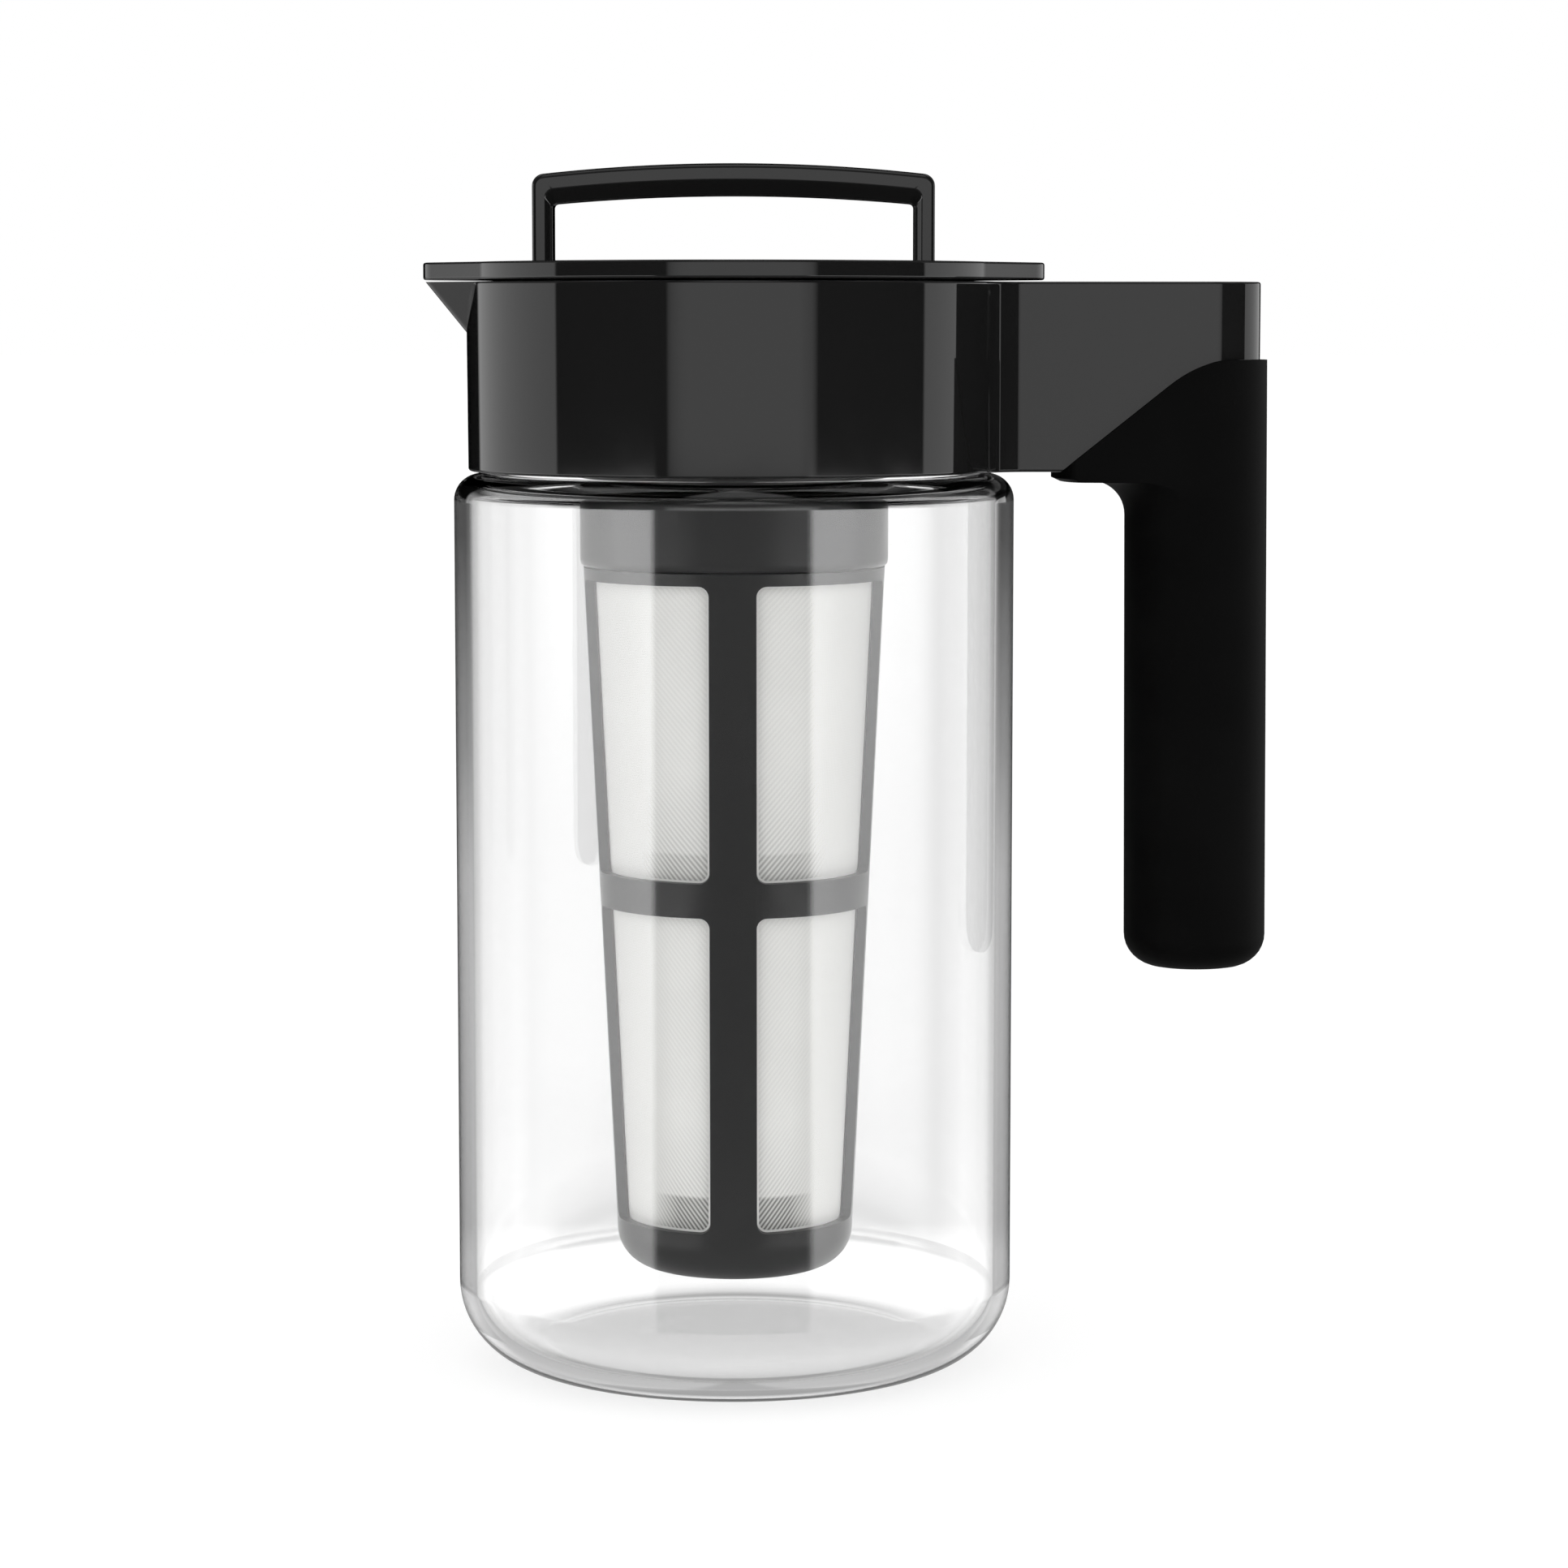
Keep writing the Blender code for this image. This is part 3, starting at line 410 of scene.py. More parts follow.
@dataclass(frozen=True)
class ClearCopolyester:
    """Clear copolyester, blow moulded and polished: colourless, with painted shade on its outer skin, darker bands
    where the eye looks along the wall, painted darker or lighter with height.
    """

    ior: float = 1.5
    # painted shade: where the darker edge bands begin, and how dark their far edge is painted
    edge_start: float = 0.65
    edge_end: float = 0.68
    edge_far: float = 0.83
    far_share: float = 0.5
    # painted shade: how dark the edge bands are painted at each height
    painted_shade_by_height: tuple[Point, ...] = ((0.0, 0.48), (28.0, 0.56), (56.0, 0.75), (90.0, 0.85), (112.0, 0.36),
                                     (141.0, 0.08), (150.0, 0.03))
    skin_radius: float = 48.4

    def build(self) -> Material:
        """Return the finish."""
        material, add, place = new_material("copolyester_clear")
        axes = add("SeparateXYZ", (place,)).node.outputs
        flat = add("CombineXYZ", (axes["X"], axes["Y"]))
        reach = add("VectorMath", (flat,), "Value", operation="LENGTH")
        skin = add("Math", (reach, self.skin_radius * MM), operation="GREATER_THAN")
        # painted shade: the edge bands' darkness, following the height
        depth = follow(add, axes["Z"], [(z * MM, tone) for z, tone in self.painted_shade_by_height])
        facing = add("LayerWeight", (0.5,), "Facing")
        far = add("MapRange", (facing, self.edge_end, self.edge_far, 1.0, self.far_share))
        darkest_painted_shade = add("Math", (depth, far), operation="MULTIPLY")
        rim = add("MapRange", (facing, self.edge_start, self.edge_end, 1.0, darkest_painted_shade),
                  interpolation_type="SMOOTHSTEP")
        level = add("Mix", {"Factor": skin, "A": 1.0, "B": rim})
        # painted shade in the colour: darker bands on the outer skin where the eye looks along the wall
        painted_edge_shade = add("CombineColor", (level, level, level))
        return dress(material, {"Base Color": painted_edge_shade, "Roughness": 0.0, "IOR": self.ior, "Transmission Weight": 1.0})


@dataclass(frozen=True)
class SatinPolypropylene:
    """Black food-grade polypropylene with a satin skin: dark, with soft low reflections."""

    colour: str = "#1e1e1e"
    roughness: float = 0.36
    specular: float = 0.5
    cloud_scale: float = 60.0
    skin_scale: float = 1600.0
    skin_height_mm: float = 0.01

    def build(self) -> Material:
        """Return the finish."""
        material, add, place = new_material("polypropylene_satin_black")
        skin = add("TexNoise", {"Vector": place, "Scale": self.skin_scale, "Detail": 2.0}, "Fac")
        cloud = add("TexNoise", {"Vector": place, "Scale": self.cloud_scale, "Detail": 2.0}, "Fac")
        gloss = add("MapRange", (cloud, 0.3, 0.7, self.roughness - 0.05, self.roughness + 0.06))
        bump = add("Bump", {"Height": skin, "Strength": 0.04, "Distance": self.skin_height_mm * MM})
        return dress(material, {"Base Color": hex_to_linear(self.colour), "Roughness": gloss, "Normal": bump,
                                "Specular IOR Level": self.specular})


@dataclass(frozen=True)
class NylonMesh:
    """White nylon filter cloth: its threads cross into fine slanting lines, clearest where it is doubled low in a
    window; it is greyer towards the sides as painted shade, and a thin painted highlight leaves it smooth and whiter
    along the frame's edges."""

    light: str = "#fdfdfa"
    shade: str = "#565653"
    roughness: float = 0.7
    specular: float = 0.2
    cloud_scale: float = 90.0
    line_mm: float = 0.76  # coarser than the real cloth, so that it shows
    weave_mm: float = 0.3
    thread_mm: float = 0.05
    radius_mm: float = 23.0
    slant: float = -42.0
    clear_turn: Point = (30.0, 46.0)
    doubled_mm: Point = (6.2, 4.9)
    doubled_share: Point = (1.0, 0.42)
    doubled_soft: float = 0.3
    reach_below: float = 4.0
    fade_mm: float = 20.0
    # painted highlight: width and softness of the whiter strip along the frame's edges
    edge_highlight_mm: float = 0.3
    edge_highlight_soft: float = 0.1
    line_strength: tuple[float, float, float] = (0.08, 0.27, 0.32)  # everywhere, low in a window, doubled
    dimming: Point = (0.05, 0.2)  # low in a window, doubled
    # painted shade: how much greyer the cloth is painted towards the sides, away from the front
    painted_side_shade: float = 0.15
    cloud_share: float = 0.06
    weave_share: float = 0.05

    def lines(self, add: partial, around: Socket, height: Socket, pitch: float, slant: float) -> Socket:
        """Return lines of a pitch in millimetres that lean from upright by an angle in degrees."""
        turn = math.radians(slant)
        along = add("Math", (around, math.cos(turn)), operation="MULTIPLY")
        across = add("Math", (height, math.sin(turn), along), operation="MULTIPLY_ADD")
        way = add("CombineXYZ", (across, height))
        return add("TexWave", {"Vector": way, "Scale": 0.1 * math.pi / (pitch * MM), "Distortion": 0.3,
                               "Detail": 2.0, "Detail Scale": 0.4}, "Fac", wave_type="BANDS", bands_direction="X")

    def rows(self, add: partial, height: Socket, windows: list[Point]) -> list[Socket]:
        """Return what goes with the height in the rows of windows.

        Args:
            add: adds a node to the tree.
            height: the height in metres.
            windows: the lower and upper edge of each row, in millimetres.

        Returns:
            How low in a window a point lies, how far the cloth is doubled there, and its distance from the
            window's nearer edge.
        """
        totals = []
        for (bottom, head), tall, weight in zip(windows, self.doubled_mm, self.doubled_share):
            end, soft = bottom + tall, self.doubled_soft
            over = add("Math", (height, (bottom - self.reach_below) * MM), operation="GREATER_THAN")
            sinking = add("MapRange", (height, bottom * MM, (bottom + self.fade_mm) * MM, 1.0, 0.0))
            ended = add("MapRange", (height, (end - soft) * MM, (end + soft) * MM, 1.0, 0.0))
            doubled = add("Math", (add("Math", (over, ended), operation="MULTIPLY"), weight), operation="MULTIPLY")
            row = [add("Math", (over, sinking), operation="MULTIPLY"), doubled,
                   add("Math", (add("Math", (height, bottom * MM), operation="SUBTRACT"),
                                add("Math", (head * MM, height), operation="SUBTRACT")), operation="MINIMUM")]
            totals.append(row)
        return [add("Math", pair, operation="MAXIMUM") for pair in zip(*totals)]

    def cloth(self, add: partial, beside: Socket, inside: Socket, rib: float, corner: float) -> Socket:
        """Return 1 in the open part of the windows and 0 in a thin strip along the frame's edges, where a painted
        highlight leaves the cloth plain white.

        Args:
            add: adds a node to the tree.
            beside: the distance from the middle of the nearest rib.
            inside: the distance from the window's nearer edge.
            rib: the width of the ribs between the windows.
            corner: the radius of a window's corners.
        """
        offset = []
        for edge, place in (((0.5 * rib + corner) * MM, beside), (corner * MM, inside)):
            short = add("Math", (edge, place), operation="SUBTRACT")
            offset.append(add("Math", (short, 0.0), operation="MAXIMUM"))
        away = add("VectorMath", (add("CombineXYZ", offset),), "Value", operation="LENGTH")
        # painted highlight: the strip nearest the frame's edges
        highlight_start = corner - self.edge_highlight_mm
        return add("MapRange", (away, (highlight_start - self.edge_highlight_soft) * MM, highlight_start * MM, 1.0, 0.0))

    def build(self, windows: list[Point], rib: float, corner: float) -> Material:
        """Return the finish.

        Args:
            windows: the lower and upper edge of each row of windows, in millimetres.
            rib: the width of the ribs between the windows.
            corner: the radius of a window's corners.
        """
        material, add, place = new_material("nylon_filter_cloth")
        axes = add("SeparateXYZ", (place,)).node.outputs
        height = axes["Z"]
        back = add("Math", (axes["Y"], -1.0), operation="MULTIPLY")
        turn = add("Math", (axes["X"], back), operation="ARCTAN2")
        swing = add("Math", (turn,), operation="ABSOLUTE")
        around = add("Math", (swing, self.radius_mm * MM), operation="MULTIPLY")
        crossing = self.lines(add, around, height, self.line_mm, self.slant)
        weave = add("Math", (self.lines(add, around, height, self.weave_mm, 0.0),
                             self.lines(add, around, height, self.weave_mm, 90.0)), operation="MULTIPLY")
        cloud = add("TexNoise", {"Vector": place, "Scale": self.cloud_scale, "Detail": 2.0}, "Fac")
        low, doubled, inside = self.rows(add, height, windows)
        across, depth = [add("Math", (axes[name],), operation="ABSOLUTE") for name in ("X", "Y")]
        beside = add("Math", (across, depth), operation="MINIMUM")
        off_highlight = self.cloth(add, beside, inside, rib, corner)
        clear = add("MapRange", (swing, *map(math.radians, self.clear_turn), 1.0, 0.0))
        thin, lower, double = self.line_strength
        faint = add("Math", (low, lower, thin), operation="MULTIPLY_ADD")
        strength = add("Math", (doubled, double, faint), operation="MULTIPLY_ADD")
        dim = add("Math", (low, self.dimming[0]), operation="MULTIPLY")
        dim = add("Math", (doubled, self.dimming[1], dim), operation="MULTIPLY_ADD")
        drawn = add("Math", (crossing, strength, dim), operation="MULTIPLY_ADD")
        drawn = add("Math", (drawn, clear), operation="MULTIPLY")
        # painted shade: the cloth turns greyer towards the sides, away from the front
        outer = add("Math", (clear, -self.painted_side_shade, self.painted_side_shade), operation="MULTIPLY_ADD")
        grey = add("Math", (drawn, outer), operation="ADD")
        grey = add("Math", (cloud, self.cloud_share, grey), operation="MULTIPLY_ADD")
        grey = add("Math", (weave, self.weave_share, grey), operation="MULTIPLY_ADD")
        # painted highlight: no grey and no lines in the thin strip along the frame's edges
        grey = add("Math", (grey, off_highlight), operation="MULTIPLY")
        tone = add("Mix", {"Factor": grey, "A": hex_to_linear(self.light), "B": hex_to_linear(self.shade)},
                   "Result", data_type="RGBA")
        bump = add("Bump", {"Height": weave, "Strength": 0.3, "Distance": self.thread_mm * MM})
        return dress(material, {"Base Color": tone, "Roughness": self.roughness, "Normal": bump,
                                "Specular IOR Level": self.specular})


@dataclass(frozen=True)
class Silicone:
    """Grey food-grade silicone: soft sheen and a slightly cloudy tone."""

    colour: str = "#8d8f90"
    roughness: float = 0.45
    cloud_scale: float = 120.0

    def build(self) -> Material:
        """Return the finish."""
        material, add, place = new_material("silicone_grey")
        return dress(material, {"Base Color": cloudy(add, place, self.colour, self.cloud_scale, 0.1),
                                "Roughness": self.roughness})


@dataclass(frozen=True)
class Arm:
    """The arm's sizes that the collar and the grip share."""

    reach: float = 93.8
    width: float = 21.0
    low: float = 160.95


@dataclass(frozen=True)
class Lugs:
    """The infuser's bayonet lugs, which turn in the lid's socket."""

    count: int = 3
    reach: float = 1.3
    low: float = 177.9
    high: float = 180.9
    span: float = 22.0
    start: float = 22.0

    def starts(self) -> list[float]:
        """Return the angle in degrees where each lug starts."""
        return [self.start + 360.0 * k / self.count for k in range(self.count)]


def sector(inner: float, outer: float, start: float, end: float, low: float, high: float, steps: int) -> Piece:
    """Return part of a flat ring, between two angles in degrees and two heights."""
    outline = arc(0.0, 0.0, outer, start, end, steps) + arc(0.0, 0.0, inner, end, start, steps)
    return block("sector", outline, low, high)


@dataclass
class Jug:
    """The clear jug: rounded base, straight wall, tight shoulder and a short neck with its snap bead."""

    radius: float = 50.0
    wall: float = 3.0
    floor: float = 3.1
    base_corner: float = 14.7
    inner_corner: float = 11.6
    shoulder_corner: float = 4.6
    shoulder_z: float = 160.4
    neck_radius: float = 44.6
    neck_wall: float = 2.6
    neck_rise: float = 16.0
    neck_blend: float = 0.6
    inner_blend: float = 1.2
    rim: float = 0.8
    bead: float = 0.7
    bead_rise: float = 11.0
    segments: int = 160

    def profile(self) -> list[Point]:
        """Return the jug's outline, outside up and inside down."""
        inner = self.radius - self.wall
        ceiling = self.shoulder_z - self.wall
        bore = self.neck_radius - self.neck_wall
        rim_z = self.shoulder_z + self.neck_rise - self.rim
        shoulder, inner_shoulder = self.shoulder_corner, self.shoulder_corner - self.wall
        blend, inner_blend = self.neck_blend, self.inner_blend
        points = [(0.0, 0.0)]
        points += arc(self.radius - self.base_corner, self.base_corner, self.base_corner, -90, 0, 18)
        points += arc(self.radius - shoulder, self.shoulder_z - shoulder, shoulder, 0, 90, 12)
        points += arc(self.neck_radius + blend, self.shoulder_z + blend, blend, -90, -180, 4)
        points += arc(self.neck_radius, self.shoulder_z + self.bead_rise, self.bead, -90, 90, 6)
        points += arc(self.neck_radius - self.rim, rim_z, self.rim, 0, 90, 4)
        points += arc(bore + self.rim, rim_z, self.rim, 90, 180, 4)
        points += arc(bore + inner_blend, ceiling + inner_blend, inner_blend, 180, 270, 4)
        points += arc(inner - inner_shoulder, ceiling - inner_shoulder, inner_shoulder, 90, 0, 6)
        points += arc(inner - self.inner_corner, self.floor + self.inner_corner, self.inner_corner, 0, -90, 16)
        return points + [(0.0, self.floor)]

    def build(self, material: Material) -> None:
        """Make the jug and let it stand for its CAD node."""
        piece = smooth(turned("clear_jug", self.profile(), self.segments))
        fit_piece(piece, material, Body.JUG, "carafe")


@dataclass
class Collar:
    """The black collar with its spout, the arm and the core inside the grip."""

    arm: Arm = Arm()
    radius: float = BAND_RADIUS
    draft: float = 0.2
    low: float = 161.0
    top: float = 194.4
    edge: float = 0.5
    bore: float = 44.4
    lead: float = 0.4
    neck_radius: float = 44.6
    neck_bore: float = 42.0
    bead: float = 0.7
    bead_z: float = 171.4
    seat: float = 178.2
    flange: float = 2.0
    spout_overhang: float = 7.3
    spout_drop: float = 9.0
    spout_angle: float = 53.0
    spout_nose: float = 6.0
    spout_wall: float = 1.6
    channel_rise: float = 3.0
    arm_edge: float = 0.45
    root_inset: float = 1.4
    root_depth: float = 1.2
    fillet: float = 8.0
    segments: int = 160

    def band(self) -> Piece:
        """Return the round band as a solid block."""
        points = [(0.0, self.low)]
        points += arc(self.radius - self.draft - self.edge, self.low + self.edge, self.edge, -90, 0, 5)
        points += arc(self.radius - self.edge, self.top - self.edge, self.edge, 0, 90, 5)
        return turned("black_collar", points + [(0.0, self.top)], self.segments)

    def hollow(self) -> Piece:
        """Return the space inside the band."""
        over_neck = self.neck_radius + FIT
        mouth = over_neck + self.lead
        seat_top = self.seat + self.flange
        points = [(0.0, self.low - OVER), (mouth, self.low - OVER), (mouth, self.low)]
        points += [(over_neck, self.low + self.lead)]
        points += arc(over_neck, self.bead_z, self.bead + FIT, -90, 90, 8)
        points += [(over_neck, self.seat), (self.neck_bore, self.seat)]
        points += [(self.neck_bore, seat_top), (self.bore, seat_top), (self.bore, self.top - self.edge)]
        points += arc(self.bore + self.edge, self.top - self.edge, self.edge, 180, 90, 4)
        points += [(self.bore + self.edge, self.top + OVER), (0.0, self.top + OVER)]
        return turned("hollow", points, self.segments)

    def beak(self, name: str, inset: float, low: float, high: float) -> Piece:
        """Return the spout's leaning block, made smaller all round by an inset."""
        slope = self.spout_overhang / self.spout_drop
        nose = self.spout_nose - inset
        turn = math.radians(self.spout_angle)
        centre = self.radius + self.spout_overhang - slope * (self.top - low) - inset - nose
        side_x, side_y = centre + nose * math.sin(turn), nose * math.cos(turn)
        root_x = (centre * math.sin(turn) + nose) * math.sin(turn)
        root_y = side_y + (side_x - root_x) * math.tan(turn)
        tip = arc(centre, 0.0, nose, self.spout_angle - 90.0, 90.0 - self.spout_angle, 14)
        outline = [(-x, y) for x, y in [(root_x, -root_y), *tip, (root_x, root_y)]]
        return block(name, outline, low, high, lean=-slope * (high - low))

    def beam(self) -> Piece:
        """Return the arm with its round end, its blends into the band and its softened top edges."""
        half = 0.5 * self.arm.width
        reach = self.radius + self.fillet
        centre_y = half + self.fillet
        centre_x = math.sqrt(reach * reach - centre_y * centre_y)
        touch = Vector((centre_x, centre_y)) * (self.radius / reach)
        inside = touch * ((self.radius - self.root_depth) / self.radius)
        start = math.degrees(math.atan2(touch.y - centre_y, touch.x - centre_x)) % 360.0
        upper = [(self.bore - self.root_inset, inside.y), (inside.x, inside.y)]
        upper += arc(centre_x, centre_y, self.fillet, start, 270.0, 12)
        outline = [(x, -y) for x, y in upper] + arc(self.arm.reach - half, 0.0, half, -90, 90, 48) + upper[::-1]
        beam = block("arm", outline, self.arm.low, self.top - SUNK)
        bevel_edges(beam, self.arm_edge, 3)
        return beam

    def build(self, material: Material, grip: "Grip") -> None:
        """Make the collar and let it stand for its CAD node."""
        collar, beam = self.band(), self.beam()
        heel = self.top - self.spout_drop
        channel_top = self.top + self.channel_rise
        combine(collar, self.beak("spout", 0.0, heel, self.top - SUNK), "UNION")
        combine(beam, grip.region("recess", 0.0), "DIFFERENCE")
        combine(beam, grip.core("core", 0.0), "UNION")
        combine(collar, beam, "UNION")
        combine(collar, self.hollow(), "DIFFERENCE")
        combine(collar, self.beak("channel", self.spout_wall, heel + self.spout_wall, channel_top), "DIFFERENCE")
        fit_piece(smooth(collar), material, Body.JUG, "collar_housing")


@dataclass
class Grip:
    """The soft sleeve over the handle: a round hand that flares into a lip under the arm."""

    arm: Arm = Arm()
    proud: float = 1.3
    skin: float = 2.5
    bottom_z: float = 71.6
    depth: float = 25.4
    top_z: float = 180.7
    bottom_corner: float = 6.2
    bottom_start: float = 6.0
    bottom_squash: float = 0.95
    side_flat: float = 0.2
    lip_x: float = 56.6
    lip: float = 1.9
    lip_nose: float = 4.0
    lip_rise: float = 0.05
    lip_chamfer: float = 0.65
    lip_chamfer_run: float = 1.4
    crotch: float = 6.0
    flare_nose: float = 8.0
    lean: float = 0.7
    seam_crest: float = 6.8
    seam_run: float = 11.4
    seam_drop: float = 4.5
    seam_foot: float = 1.15
    seam_gap: float = 0.05
    core_rise: float = 3.0
    hollow_rise: float = 10.0  # for each millimetre that the hollow is wider than the core
    beyond: tuple[float, float, float] = (4.0, 6.0, 8.0)  # outwards, inwards and down past the handle
    side_steps: int = 32

    def outer_x(self) -> float:
        """Return the outermost line at the top of the hand."""
        return self.arm.reach + self.proud

    def section(self, z: float, inner_x: float, nose: float, inset: float) -> list[Vector]:
        """Return one level outline: round outside, and a nose of its own length inside."""
        half = 0.5 * self.arm.width + self.proud - inset
        lean = self.lean * (self.top_z - z) / (self.top_z - self.bottom_z)
        radius = 0.5 * self.depth
        points = []
        for centre, reach, start in ((self.outer_x() - radius, radius - inset, -90.0),
                                     (inner_x + inset + nose, nose, 90.0)):
            for c, s in arc(0.0, 0.0, 1.0, start, start + 180.0, self.side_steps):
                points.append(Vector((centre + reach * c + lean, half * s, z)))
        return points

    def form(self, name: str, inset: float, high: float) -> Piece:
        """Return the handle from its rounded end up past the lip, as one loft of level outlines."""
        inner = self.outer_x() - self.depth
        low = self.bottom_z + inset
        corner = self.bottom_corner - 0.5 * inset
        long_nose = 0.5 * self.depth - inset - self.side_flat
        underside = self.arm.low - self.lip
        under = underside + (self.lip if inset > 0.0 else 0.0)
        pivot = underside - self.crotch
        rings = []
        for k in range(9):
            angle = math.radians(self.bottom_start + (90.0 - self.bottom_start) * k / 8)
            tuck = corner * (1.0 - math.sin(angle))
            z = low + self.bottom_corner * (1.0 - math.cos(angle)) * self.bottom_squash
            rings.append(self.section(z, inner, long_nose - tuck, inset + tuck))
        for k in range(13):
            share = k / 12.0
            angle = 0.5 * math.pi * share
            x = inner - (self.crotch + inset) * (1.0 - math.cos(angle))
            z = pivot + (under - pivot) * math.sin(angle)
            rings.append(self.section(z, x, long_nose + (self.flare_nose - long_nose) * share * share, inset))
        lip_z = under + self.lip_rise
        for z, x in ((lip_z, self.lip_x + self.lip_chamfer_run), (lip_z + self.lip_chamfer, self.lip_x),
                     (high, self.lip_x)):
            rings.append(self.section(z, x, self.lip_nose, inset))
        return loft(name, rings)

    def region(self, name: str, shift: float) -> Piece:
        """Return all that lies below the sleeve's upper edge, as a block across the handle."""
        outwards, inwards, down = self.beyond
        far, near = self.outer_x() + outwards, self.lip_x - inwards
        top, foot_z, bottom = self.top_z + shift, self.arm.low + shift, self.bottom_z - down
        crest = self.outer_x() - self.seam_crest
        points = [(far, top), (crest, top)]
        points += [(crest - self.seam_run * t / 10.0, top - self.seam_drop * (t / 10.0) ** 2) for t in range(1, 11)]
        points += [(self.lip_x + self.seam_foot, foot_z), (near, foot_z), (near, bottom), (far, bottom)]
        return block(name, points, -self.arm.width, self.arm.width, axis="Y")

    def core(self, name: str, grow: float) -> Piece:
        """Return the hard core that runs down inside the sleeve; grow makes the sleeve's hollow."""
        return self.form(name, self.skin - grow, self.top_z + self.core_rise + self.hollow_rise * grow)

    def build(self, material: Material) -> None:
        """Make the sleeve and let it stand for its CAD node."""
        sleeve = self.form("soft_grip", 0.0, self.top_z + OVER)
        combine(sleeve, self.region("below", -self.seam_gap), "INTERSECT")
        combine(sleeve, self.core("hollow", FIT), "DIFFERENCE")
        fit_piece(smooth(sleeve, 35.0), material, Body.JUG, "handle_grip")


@dataclass
class Lid:
    """The round cover with its two points, and the carrying loop on it."""

    radius: float = BAND_RADIUS
    low: float = 194.7
    thickness: float = 3.1
    edge: float = 0.45
    overhang: float = 7.7
    nose: float = 9.0
    spread: float = 22.0
    half_span: float = 35.6
    rise: float = 17.4
    leg: float = 3.6
    bar: float = 5.6
    leg_face: float = 2.3
    bar_face: float = 2.9
    width: float = 12.0
    slope_depth: float = 1.3
    crown: float = 308.0
    crown_loss: float = 40.0
    corner: float = 2.2
    face_corner: float = 1.8
    inner_corner: float = 0.8
    loop_edge: float = 0.9
    ridge_share: float = 0.1
    arris_share: float = 0.06

    def cover(self) -> Piece:
        """Return the cover with softened edges."""
        centre = self.radius + self.overhang - self.nose
        turn = math.radians(self.spread)
        cheek = Vector((self.radius * math.cos(turn) - centre, self.radius * math.sin(turn)))
        half = math.degrees(math.atan2(cheek.y, cheek.x) - math.acos(self.nose / cheek.length))
        outline = []
        for start, side in ((0.0, 1.0), (180.0, -1.0)):
            outline += [(side * x, side * y) for x, y in arc(centre, 0.0, self.nose, -half, half, 16)]
            outline += arc(0.0, 0.0, self.radius, start + self.spread, start + 180.0 - self.spread, 72)
        cover = block("lid_top", outline, self.low, self.low + self.thickness)
        bevel_edges(cover, self.edge, 4)
        return cover

    def rail(self, inset: float, drop: float, crown: float, corner: float) -> list[Point]:
        """Return one lengthwise line of the loop, from the left foot over the top to the right foot."""
        half = self.half_span - inset
        centre_z = self.low + self.thickness + self.rise - drop - crown
        corner_x = half - corner
        corner_z = centre_z + math.sqrt((crown - corner) ** 2 - corner_x ** 2)
        slope = math.degrees(math.asin(corner_x / (crown - corner)))
        left = [(-half, self.low + self.thickness + FIT)]
        left += arc(-corner_x, corner_z, corner, 180.0, 90.0 + slope, 10)
        sweep = arc(0.0, centre_z, crown, 90.0 + slope, 90.0 - slope, 32)[1:-1]
        return left + sweep + [(-x, z) for x, z in reversed(left)]

    def softened(self, before: Line, corner: Line, after: Line, share: float) -> list[Line]:
        """Return three lines that round one lengthwise edge of the loop.

        Args:
            before: the rail sizes and depth of the line before the edge.
            corner: those of the edge itself.
            after: those of the line after it.
            share: how far towards its neighbours the rounding reaches.

        Returns:
            The rail sizes and depth of each line.
        """
        start, end = [(corner[0].lerp(line, share), corner[1] + (depth - corner[1]) * share)
                      for line, depth in (before, after)]
        middle = (0.5 * corner[0] + 0.25 * (start[0] + end[0]), 0.5 * corner[1] + 0.25 * (start[1] + end[1]))
        return [start, middle, end]

    def loop(self) -> Piece:
        """Return the carrying loop, lofted along its path."""
        half, edge = 0.5 * self.width, self.loop_edge
        low = half - self.slope_depth
        rails = []
        for angle in map(math.radians, range(0, 90, 15)):
            inset = edge * (1.0 - math.cos(angle))
            rail = self.rail(inset, inset, self.crown - inset, self.corner - inset)
            rails.append((rail, half - edge + edge * math.sin(angle)))
        outer = Vector((edge, edge, self.crown - edge, self.corner - edge))
        ridge = Vector((self.leg_face, self.bar_face, self.crown, self.face_corner))
        arris = Vector((self.leg, self.bar, self.crown + self.crown_loss, self.inner_corner))
        lines = [(outer, half)]
        lines += self.softened((outer, half), (ridge, half), (arris, low), self.ridge_share)
        lines += self.softened((ridge, half), (arris, low), (arris, 0.0), self.arris_share)
        rails += [(self.rail(*sizes), depth) for sizes, depth in lines]
        rails += [(rail, -depth) for rail, depth in reversed(rails)]
        return loft("carrying_loop", [[Vector((rail[k][0], depth, rail[k][1])) for rail, depth in rails]
                                      for k in range(len(rails[0][0]))])

    def build(self, material: Material) -> None:
        """Make the cover and the loop, and let them stand for their CAD nodes."""
        fit_piece(smooth(self.cover()), material, Body.LID, "lid_cover")
        fit_piece(smooth(self.loop(), 24.0), material, Body.LID, "lid_bail")


